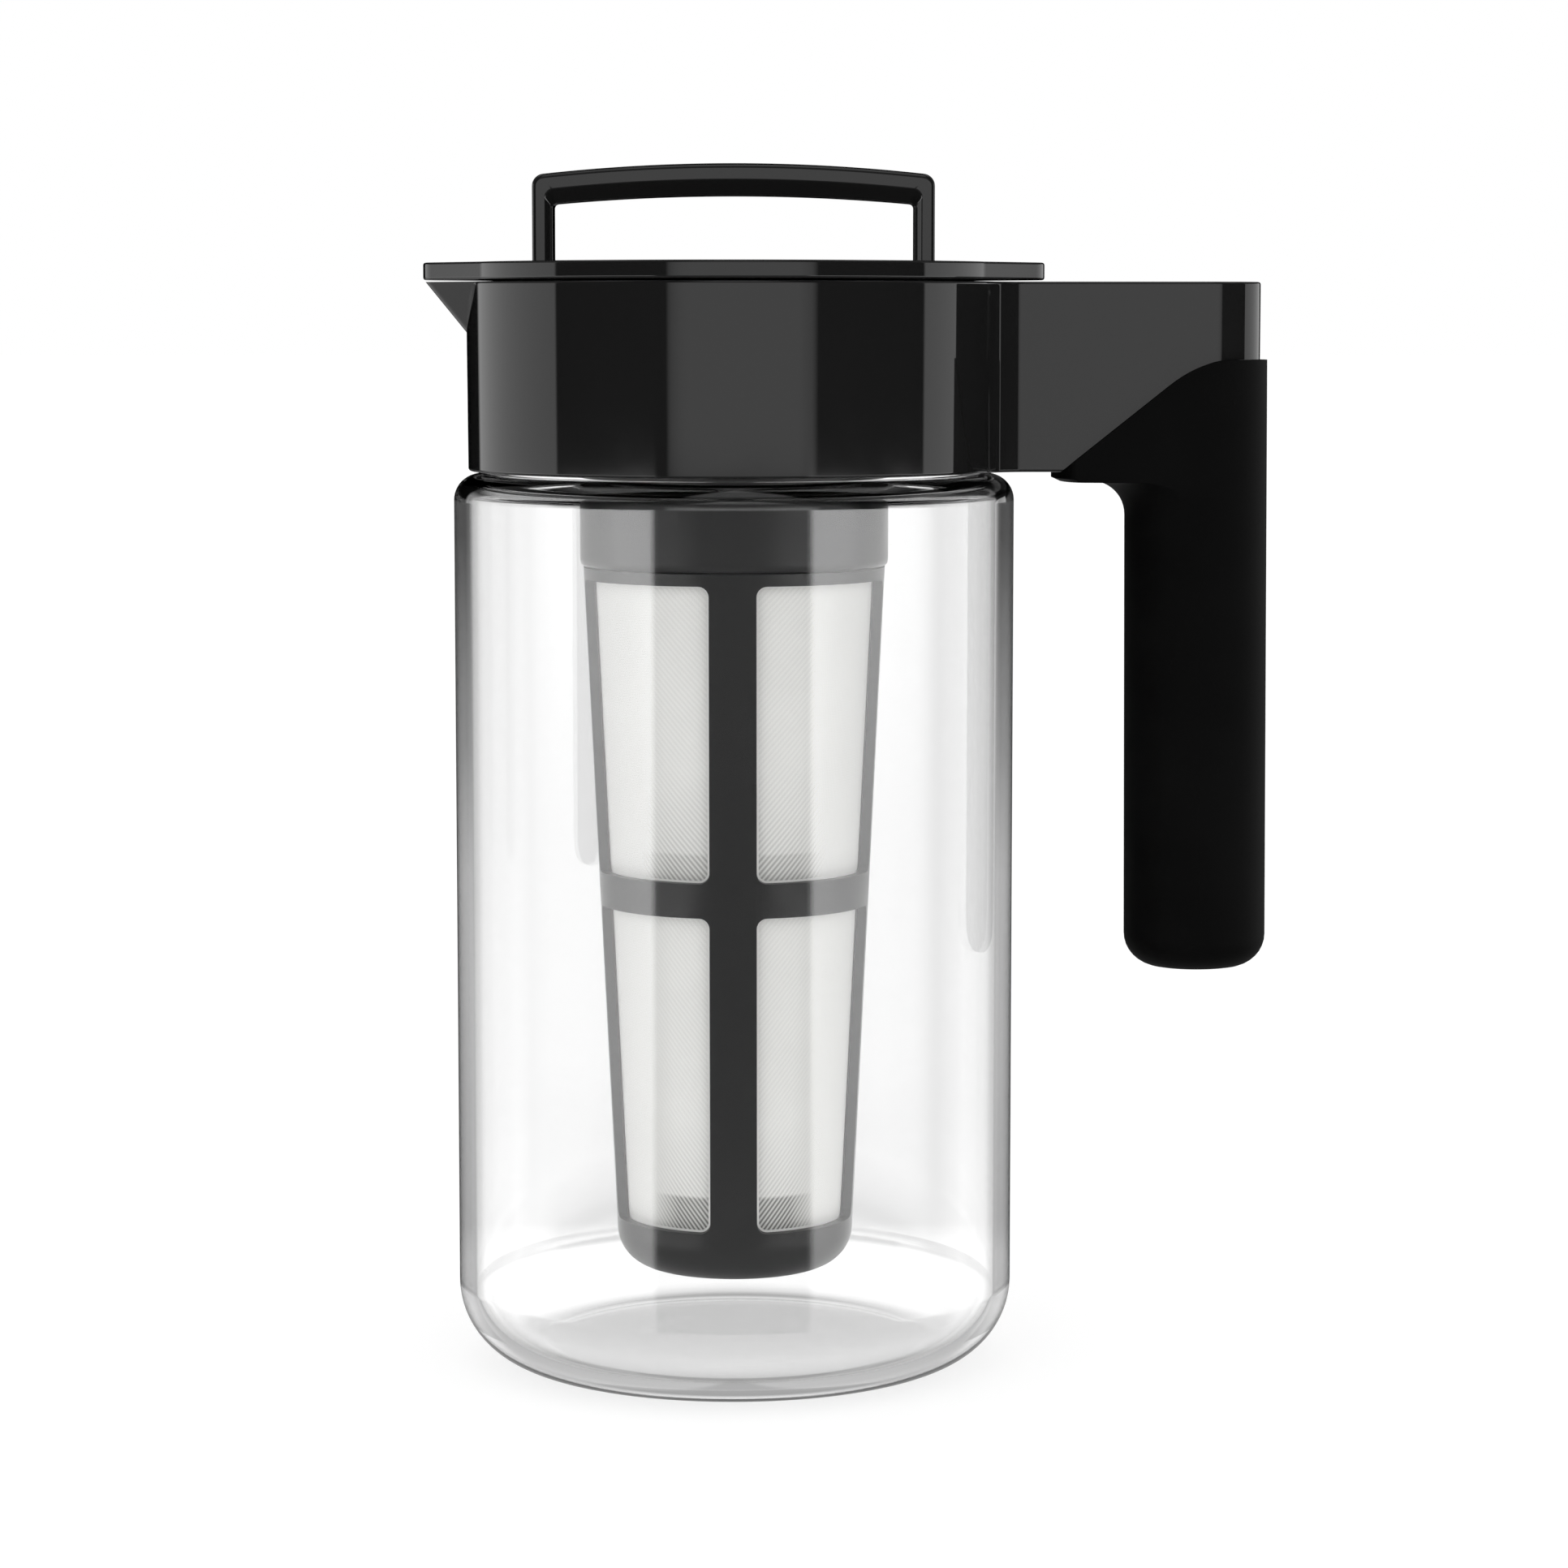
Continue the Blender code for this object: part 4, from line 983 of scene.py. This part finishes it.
@dataclass
class Plug:
    """The lid's plug: its plate, the sealing skirt with pour slots, and the infuser's bayonet socket."""

    lugs: Lugs = Lugs()
    outer: float = 43.9
    skirt: float = 2.9
    low: float = 180.5
    under: float = 192.9
    top: float = 194.4
    edge: float = 0.4
    top_edge: float = 0.2
    groove: float = 42.4
    groove_z: float = 183.1
    groove_half: float = 1.5
    bore: float = 26.0
    boss: float = 29.4
    boss_edge: float = 0.3
    socket_low: float = 171.9
    slot_width: float = 3.2
    slot_count: int = 4
    slot_pitch: float = 8.0
    slot_low: float = 185.8
    slot_high: float = 191.9
    slot_over: float = 1.5
    lug_turn: float = 35.0
    lug_slack: float = 1.5
    track_over: float = 1.0
    segments: int = 144

    def body(self) -> Piece:
        """Return the turned body."""
        inner = self.outer - self.skirt
        low, high = self.groove_z - self.groove_half, self.groove_z + self.groove_half
        points = [(0.0, self.under), (self.bore, self.under), (self.bore, self.socket_low + self.edge)]
        points += arc(self.bore + self.edge, self.socket_low + self.edge, self.edge, 180, 270, 4)
        points += [(self.boss - self.boss_edge, self.socket_low), (self.boss, self.socket_low + self.boss_edge)]
        points += [(self.boss, self.under), (inner, self.under), (inner, self.low)]
        points += arc(self.outer - self.edge, self.low + self.edge, self.edge, -90, 0, 4)
        points += [(self.outer, low), (self.groove, low), (self.groove, high), (self.outer, high)]
        points += [(self.outer, self.top - self.top_edge), (self.outer - self.top_edge, self.top), (0.0, self.top)]
        return turned("lid_plug_body", points, self.segments)

    def slot(self, angle: float) -> Piece:
        """Return the cutter of one pour slot, at an angle in degrees."""
        half = 0.5 * self.slot_width
        near, far = self.outer - self.skirt - self.slot_over, self.outer + self.slot_over
        c, s = math.cos(math.radians(angle)), math.sin(math.radians(angle))
        corners = ((near, -half), (far, -half), (far, half), (near, half))
        return block("slot", [(x * c - y * s, x * s + y * c) for x, y in corners], self.slot_low, self.slot_high)

    def build(self, material: Material) -> None:
        """Make the plug and let it stand for its CAD node."""
        plug, lugs, slack = self.body(), self.lugs, self.lug_slack
        near, far = self.bore - self.track_over, self.bore + lugs.reach
        for middle in (90.0, 270.0):
            for k in range(self.slot_count):
                step = k - 0.5 * (self.slot_count - 1)
                combine(plug, self.slot(middle + self.slot_pitch * step), "DIFFERENCE")
        for start in lugs.starts():
            end = start + lugs.span + self.lug_turn + slack
            entry = end - lugs.span - 2.0 * slack
            combine(plug, sector(near, far, start - slack, end, lugs.low - FIT, lugs.high + FIT, 12), "DIFFERENCE")
            combine(plug, sector(near, far, entry, end, self.socket_low - self.track_over, lugs.high, 12),
                    "DIFFERENCE")
        fit_piece(smooth(plug), material, Body.LID, "lid_plug")


@dataclass
class Seals:
    """The two silicone rings: the flat one on the jug's rim and the lipped one in the plug's groove."""

    rim_inner: float = 42.3
    rim_outer: float = 44.0
    rim_low: float = 176.7
    rim_height: float = 1.2
    lip_outer: float = 44.15
    lip_inner: float = 42.7
    lip_z: float = 183.1
    lip_half: float = 1.2
    lip_edge: float = 0.3
    lip_waist: float = 0.5
    segments: int = 144

    def build(self, material: Material) -> None:
        """Make both rings and let them stand for their CAD nodes."""
        low, high = self.rim_low, self.rim_low + self.rim_height
        flat = [(self.rim_inner, low), (self.rim_outer, low), (self.rim_outer, high), (self.rim_inner, high)]
        low, high, outer, edge = self.lip_z - self.lip_half, self.lip_z + self.lip_half, self.lip_outer, self.lip_edge
        lipped = [(self.lip_inner, low), (outer - edge, low), (outer, low + edge), (outer - self.lip_waist, self.lip_z),
                  (outer, high - edge), (outer - edge, high), (self.lip_inner, high)]
        for name, points, angle, body, node in (("rim_seal", flat, 30.0, Body.JUG, "neck_seal"),
                                                ("lip_seal", lipped, 50.0, Body.GASKET, "lid_gasket")):
            ring = smooth(turned(name, points + points[:1], self.segments), angle)
            fit_piece(ring, material, body, node)


@dataclass
class Infuser:
    """The infuser: its top ring, the tapered basket with eight windows and the mesh behind them."""

    lugs: Lugs = Lugs()
    lug_root: float = 0.8
    ring_radius: float = 27.6
    ring_low: float = 144.1
    ring_high: float = 171.6
    ring_step: float = 0.7
    ring_edge: float = 0.4
    ring_wall: float = 2.6
    neck_radius: float = 25.6
    neck_top: float = 192.4
    neck_edge: float = 0.5
    basket_top: float = 27.0
    basket_taper: float = 5.7
    bottom_z: float = 17.2
    bottom_corner: float = 7.0
    wall: float = 1.7
    spigot: float = 6.0
    ledge: float = 0.9
    rib: float = 8.2
    window_corner: float = 1.85
    window_over: float = 6.0
    top_band: float = 2.4
    upper_window: float = 52.3
    middle_band: float = 6.1
    cup: float = 9.3
    cloth: float = 0.6
    tuck: float = 1.6
    segments: int = 120

    def spigot_radius(self) -> float:
        """Return the outside radius of the basket's spigot."""
        return self.ring_radius - self.ring_wall - FIT

    def ring(self) -> Piece:
        """Return the top ring with its neck and lugs."""
        socket = self.spigot_radius() + FIT
        bore = self.spigot_radius() - self.wall
        neck, edge, step = self.neck_radius, self.ring_edge, self.ring_step
        points = [(socket, self.ring_low)]
        points += [(self.ring_radius - step * (1.0 - s), self.ring_low + 2.0 * step * (1.0 - c))
                   for c, s in arc(0.0, 0.0, 1.0, 0, 90, 8)]
        points += arc(self.ring_radius - edge, self.ring_high - edge, edge, 0, 90, 3)
        points += [(neck, self.ring_high), (neck, self.neck_top - self.neck_edge)]
        points += [(neck - self.neck_edge, self.neck_top), (bore, self.neck_top)]
        points += [(bore, self.ring_low + self.spigot), (socket, self.ring_low + self.spigot), points[0]]
        ring = turned("infuser_collar", points, self.segments)
        for start in self.lugs.starts():
            lug = sector(neck - self.lug_root, neck + self.lugs.reach, start, start + self.lugs.span,
                         self.lugs.low, self.lugs.high, 8)
            combine(ring, lug, "UNION")
        return ring

    def basket_radius(self, z: float) -> float:
        """Return the outside radius of the basket at a height."""
        low = self.bottom_z + self.bottom_corner
        return self.basket_top - self.basket_taper * (1.0 - (z - low) / (self.ring_low - low))

    def window_rows(self) -> list[Point]:
        """Return the lower and upper edge of each row of windows."""
        head = self.ring_low - self.top_band
        sill = head - self.upper_window
        return [(self.bottom_z + self.cup, sill - self.middle_band), (sill, head)]

    def window_slab(self, low: float, high: float, axis: str) -> Piece:
        """Return two long cutters with rounded corners, one on each side of a pair of ribs."""
        corner = self.window_corner
        near, far = 0.5 * self.rib + corner, self.basket_top + self.window_over
        points = [(far, low), (far, high)]
        points += arc(near, high - corner, corner, 90, 180, 10) + arc(near, low + corner, corner, 180, 270, 10)
        slab, other = [block("window", [(side * u, v) for u, v in points], -far, far, axis) for side in (-1.0, 1.0)]
        combine(slab, other, "UNION")
        return slab

    def basket(self) -> Piece:
        """Return the basket with its ribs, band and cup."""
        low, top = self.bottom_z, self.ring_low - FIT
        spigot, spigot_top = self.spigot_radius(), top + self.spigot - FIT
        ledge, corner, wall = top - self.ledge, self.bottom_corner, self.wall
        turn_x, turn_z = self.basket_top - self.basket_taper - corner, low + corner
        points = [(0.0, low)] + arc(turn_x, turn_z, corner, -90, 0, 12)
        points += [(self.basket_top, top), (spigot, top), (spigot, spigot_top), (spigot - wall, spigot_top)]
        points += [(spigot - wall, ledge), (self.basket_radius(ledge) - wall, ledge)]
        points += arc(turn_x, turn_z, corner - wall, 0, -90, 10) + [(0.0, low + wall)]
        basket = turned("infuser_basket", points, self.segments)
        for bottom, head in self.window_rows():
            cutter = self.window_slab(bottom, head, "Y")
            combine(cutter, self.window_slab(bottom, head, "X"), "INTERSECT")
            combine(basket, cutter, "DIFFERENCE")
        return basket

    def sleeve(self) -> Piece:
        """Return the mesh sleeve."""
        low, high = self.window_rows()[0][0] - self.tuck, self.ring_low - 2.0 * FIT - self.ledge
        outer_low, outer_high = [self.basket_radius(z) - self.wall - FIT for z in (low, high)]
        points = [(outer_low - self.cloth, low), (outer_low, low), (outer_high, high), (outer_high - self.cloth, high)]
        return turned("filter_cloth", points + points[:1], self.segments)

    def build(self, plastic: Material, cloth: Material) -> None:
        """Make the three pieces and let them stand for their CAD nodes."""
        fit_piece(smooth(self.ring()), plastic, Body.INFUSER, "infuser_ring")
        fit_piece(smooth(self.basket()), plastic, Body.INFUSER, "infuser_frame")
        fit_piece(smooth(self.sleeve()), cloth, Body.INFUSER, "filter_mesh")


@dataclass
class Studio:
    """A pale floor, a white surround and plain soft panels, with the camera of the photograph."""

    camera_mm: tuple[float, float, float] = (8.93, -800.0, 188.57)
    pitch: float = 6.0
    lens_mm: float = 102.48
    sensor_mm: float = 36.0
    clip_m: float = 100.0
    floor_m: float = 40.0
    floor_drop_mm: float = 0.3
    floor_tone: float = 0.9
    floor_glow: float = 1.11
    glow_share: float = 0.7
    haze: float = 3.15
    horizon_tilt: float = -2.3
    inner_glow: float = 0.5

    def build_camera(self) -> None:
        """Put the camera where the photograph was taken from."""
        data = bpy.data.cameras.new("photo_camera")
        data.lens = self.lens_mm
        data.sensor_width = self.sensor_mm
        data.clip_end = self.clip_m
        camera = bpy.data.objects.new("photo_camera", data)
        camera.location = Vector(self.camera_mm) * MM
        camera.rotation_euler = (math.radians(90.0 - self.pitch), 0.0, 0.0)
        bpy.context.scene.collection.objects.link(camera)
        bpy.context.scene.camera = camera

    def build_floor(self) -> None:
        """Lay the white floor, which keeps the object's shadow."""
        bpy.ops.object.select_all(action="DESELECT")
        bpy.ops.mesh.primitive_plane_add(size=self.floor_m, location=(0.0, 0.0, -self.floor_drop_mm * MM))
        floor = bpy.context.object
        floor.name = "floor"
        material = bpy.data.materials.new("paper_white")
        material.use_nodes = True
        material.node_tree.nodes.clear()
        add = partial(add_node, material.node_tree)
        matte = add("BsdfDiffuse", {"Color": (self.floor_tone, self.floor_tone, self.floor_tone, 1.0)})
        glow = add("Emission", {"Strength": self.floor_glow})
        seen = add("LightPath", output=Rays.CAMERA.value)
        share = add("Math", (seen, self.glow_share), operation="MULTIPLY")
        add("OutputMaterial", {"Surface": add("MixShader", (share, matte, glow))})
        floor.data.materials.append(material)
        floor.visible_glossy = False
        floor.visible_transmission = False

    def panels(self, add: partial, azimuth: Socket, spread: Socket, elevation: Socket) -> tuple[Socket, Socket]:
        """Return the upright soft panels.

        Args:
            add: adds a node to the world's tree.
            azimuth: a ray's turn in degrees from the front, to the handle's side.
            spread: the size of that turn.
            elevation: how far the ray points up, in degrees.

        Returns:
            What reflections see, and what rays see that leave the clear jug at the front.
        """
        haze, tilt = self.haze, self.horizon_tilt
        # upright faces mirror the upper panels high on the collar, and the lower ones further down
        upper = follow(add, azimuth, [(-180.0, 0.0), (-142.2, 0.0), (-141.8, 1.1), (-80.7, 1.1), (-80.3, 0.0),
                                      (-28.0, 0.0), (-26.4, 0.75), (-22.5, 1.0), (-19.0, 1.1), (28.5, 1.1),
                                      (34.3, 0.8), (36.6, 0.0), (88.8, 0.0), (89.2, 1.1), (149.8, 1.1), (150.2, 0.0),
                                      (180.0, 0.0)])
        lower = follow(add, azimuth, [(-180.0, 0.05), (-143.0, 0.05), (-132.0, 0.9), (-111.0, 2.0), (-74.0, haze),
                                      (-32.7, haze), (-32.3, 0.1), (32.2, 0.1), (32.6, haze), (74.0, haze),
                                      (111.0, 2.0), (132.0, 0.9), (143.0, 0.05), (180.0, 0.05)])
        fall = follow(add, elevation, [(-12.0, 0.94), (-6.4, 1.0), (-3.0, 1.14)])
        lower = add("Math", (lower, fall), operation="MULTIPLY")
        reach = follow(add, elevation, [(9.0, 1.0), (16.0, 0.12), (48.0, 0.12), (60.0, 0.9)])
        upper = add("Math", (upper, reach), operation="MULTIPLY")
        below = follow(add, spread, [(95.0, 0.2), (125.0, 0.45)])
        under = follow(add, elevation, [(-12.8, 0.0), (-12.4, 1.0)])
        mirrored = add("Mix", {"Factor": under, "A": below, "B": lower})
        foot = follow(add, elevation, [(-18.0, 0.0), (-9.5, 1.0)])
        inner = add("Mix", {"Factor": foot, "A": self.inner_glow, "B": lower})
        above = follow(add, elevation, [(tilt - 0.1, 0.0), (tilt + 0.1, 1.0)])
        mirrored, inner = [add("Mix", {"Factor": above, "A": low, "B": upper}) for low in (mirrored, inner)]
        return mirrored, inner

    def backdrop(self, add: partial, spread: Socket, elevation: Socket) -> Socket:
        """Return what is seen behind the clear jug: white in the middle, and dark at the sides so that the wall
        shows as grey bands."""
        sides = follow(add, elevation, [(-30.0, 0.5), (-14.0, 0.42), (-8.4, 0.40), (-7.0, 0.33), (-5.2, 0.21),
                                        (-3.4, 0.1), (-2.3, 0.05), (2.0, 0.02), (18.0, 0.02), (28.0, 0.35)])
        # the part seen through the wall, and the lower part seen through the thick base
        wall = follow(add, elevation, [(-11.6, 0.89), (-10.2, 0.82), (-0.5, 0.77), (2.0, 0.02), (18.0, 0.02),
                                       (28.0, 0.5)])
        base = follow(add, elevation, [(-30.0, 0.5), (-18.0, 1.36), (-13.7, 1.33), (-12.9, 1.28), (-12.4, 1.2),
                                       (-12.0, 1.2)])
        # both grow brighter away from the middle
        wall_bulge = follow(add, spread, [(163.0, 1.13), (167.5, 1.16), (171.0, 1.15), (172.7, 0.97), (174.3, 0.76),
                                          (176.0, 0.7), (180.0, 0.7)])
        base_bulge = follow(add, spread, [(163.0, 1.1), (171.0, 1.1), (172.7, 0.99), (174.3, 0.87), (176.0, 0.85),
                                          (180.0, 0.85)])
        wall = add("Math", (wall, wall_bulge), operation="MULTIPLY")
        base = add("Math", (base, base_bulge), operation="MULTIPLY")
        upwards = follow(add, elevation, [(-12.0, 0.0), (-11.6, 1.0)])
        back = add("Mix", {"Factor": upwards, "A": base, "B": wall})
        middle = follow(add, spread, [(140.0, 0.0), (147.0, 0.45), (163.0, 1.0)])
        return add("Mix", {"Factor": middle, "A": sides, "B": back})

    def build_world(self) -> None:
        """Surround the object with white for the camera, soft light for matte bounces, panels for reflections
        and a backdrop for rays bent by the clear jug."""
        world = bpy.data.worlds.new("studio")
        bpy.context.scene.world = world
        world.use_nodes = True
        world.node_tree.nodes.clear()
        add = partial(add_node, world.node_tree)
        axes = add("SeparateXYZ", (add("TexCoord", output="Generated"),)).node.outputs
        depth = add("Math", (axes["Y"], -1.0), operation="MULTIPLY")
        turn = add("Math", (axes["X"], depth), operation="ARCTAN2")
        lift = add("Math", (axes["Z"],), operation="ARCSINE")
        azimuth, elevation = [add("Math", (angle,), operation="DEGREES") for angle in (turn, lift)]
        spread = add("Math", (azimuth,), operation="ABSOLUTE")
        mirrored, inner = self.panels(add, azimuth, spread, elevation)
        front = follow(add, spread, [(90.0, 1.0), (110.0, 0.0)])
        refracted = add("Mix", {"Factor": front, "A": self.backdrop(add, spread, elevation), "B": inner})
        ambient = follow(add, axes["Y"], [(-1.0, 1.68), (0.0, 1.0), (1.0, 0.8)])
        camera, bent, bounces = [add("LightPath", output=kind.value)
                                 for kind in (Rays.CAMERA, Rays.TRANSMISSION, Rays.BOUNCES)]
        scattered = add("Math", (bounces, 0.5), operation="GREATER_THAN")
        studio, through, soft, shown = [add("Background", ((1.0, 1.0, 1.0, 1.0), level))
                                        for level in (mirrored, refracted, ambient, 1.0)]
        light = add("MixShader", (bent, studio, through))
        light = add("MixShader", (scattered, light, soft))
        add("OutputWorld", {"Surface": add("MixShader", (camera, light, shown))})

    def build(self) -> None:
        """Set up the camera, the floor, the surround and the plain view."""
        self.build_camera()
        self.build_floor()
        self.build_world()
        bpy.context.scene.view_settings.view_transform = "Standard"


def main() -> None:
    """Build the studio and every piece."""
    logging.basicConfig(level=logging.INFO, format="%(name)s: %(message)s")
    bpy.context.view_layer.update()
    Studio().build()
    gloss = GlossAbs().build()
    soft = SoftGripRubber().build()
    plastic = SatinPolypropylene().build()
    grip = Grip()
    Jug().build(ClearCopolyester().build())
    Collar().build(gloss, grip)
    grip.build(soft)
    Lid().build(gloss)
    infuser = Infuser()
    infuser.build(plastic, NylonMesh().build(infuser.window_rows(), infuser.rib, infuser.window_corner))
    Plug().build(plastic)
    Seals().build(Silicone().build())


if __name__ == "__main__":
    main()
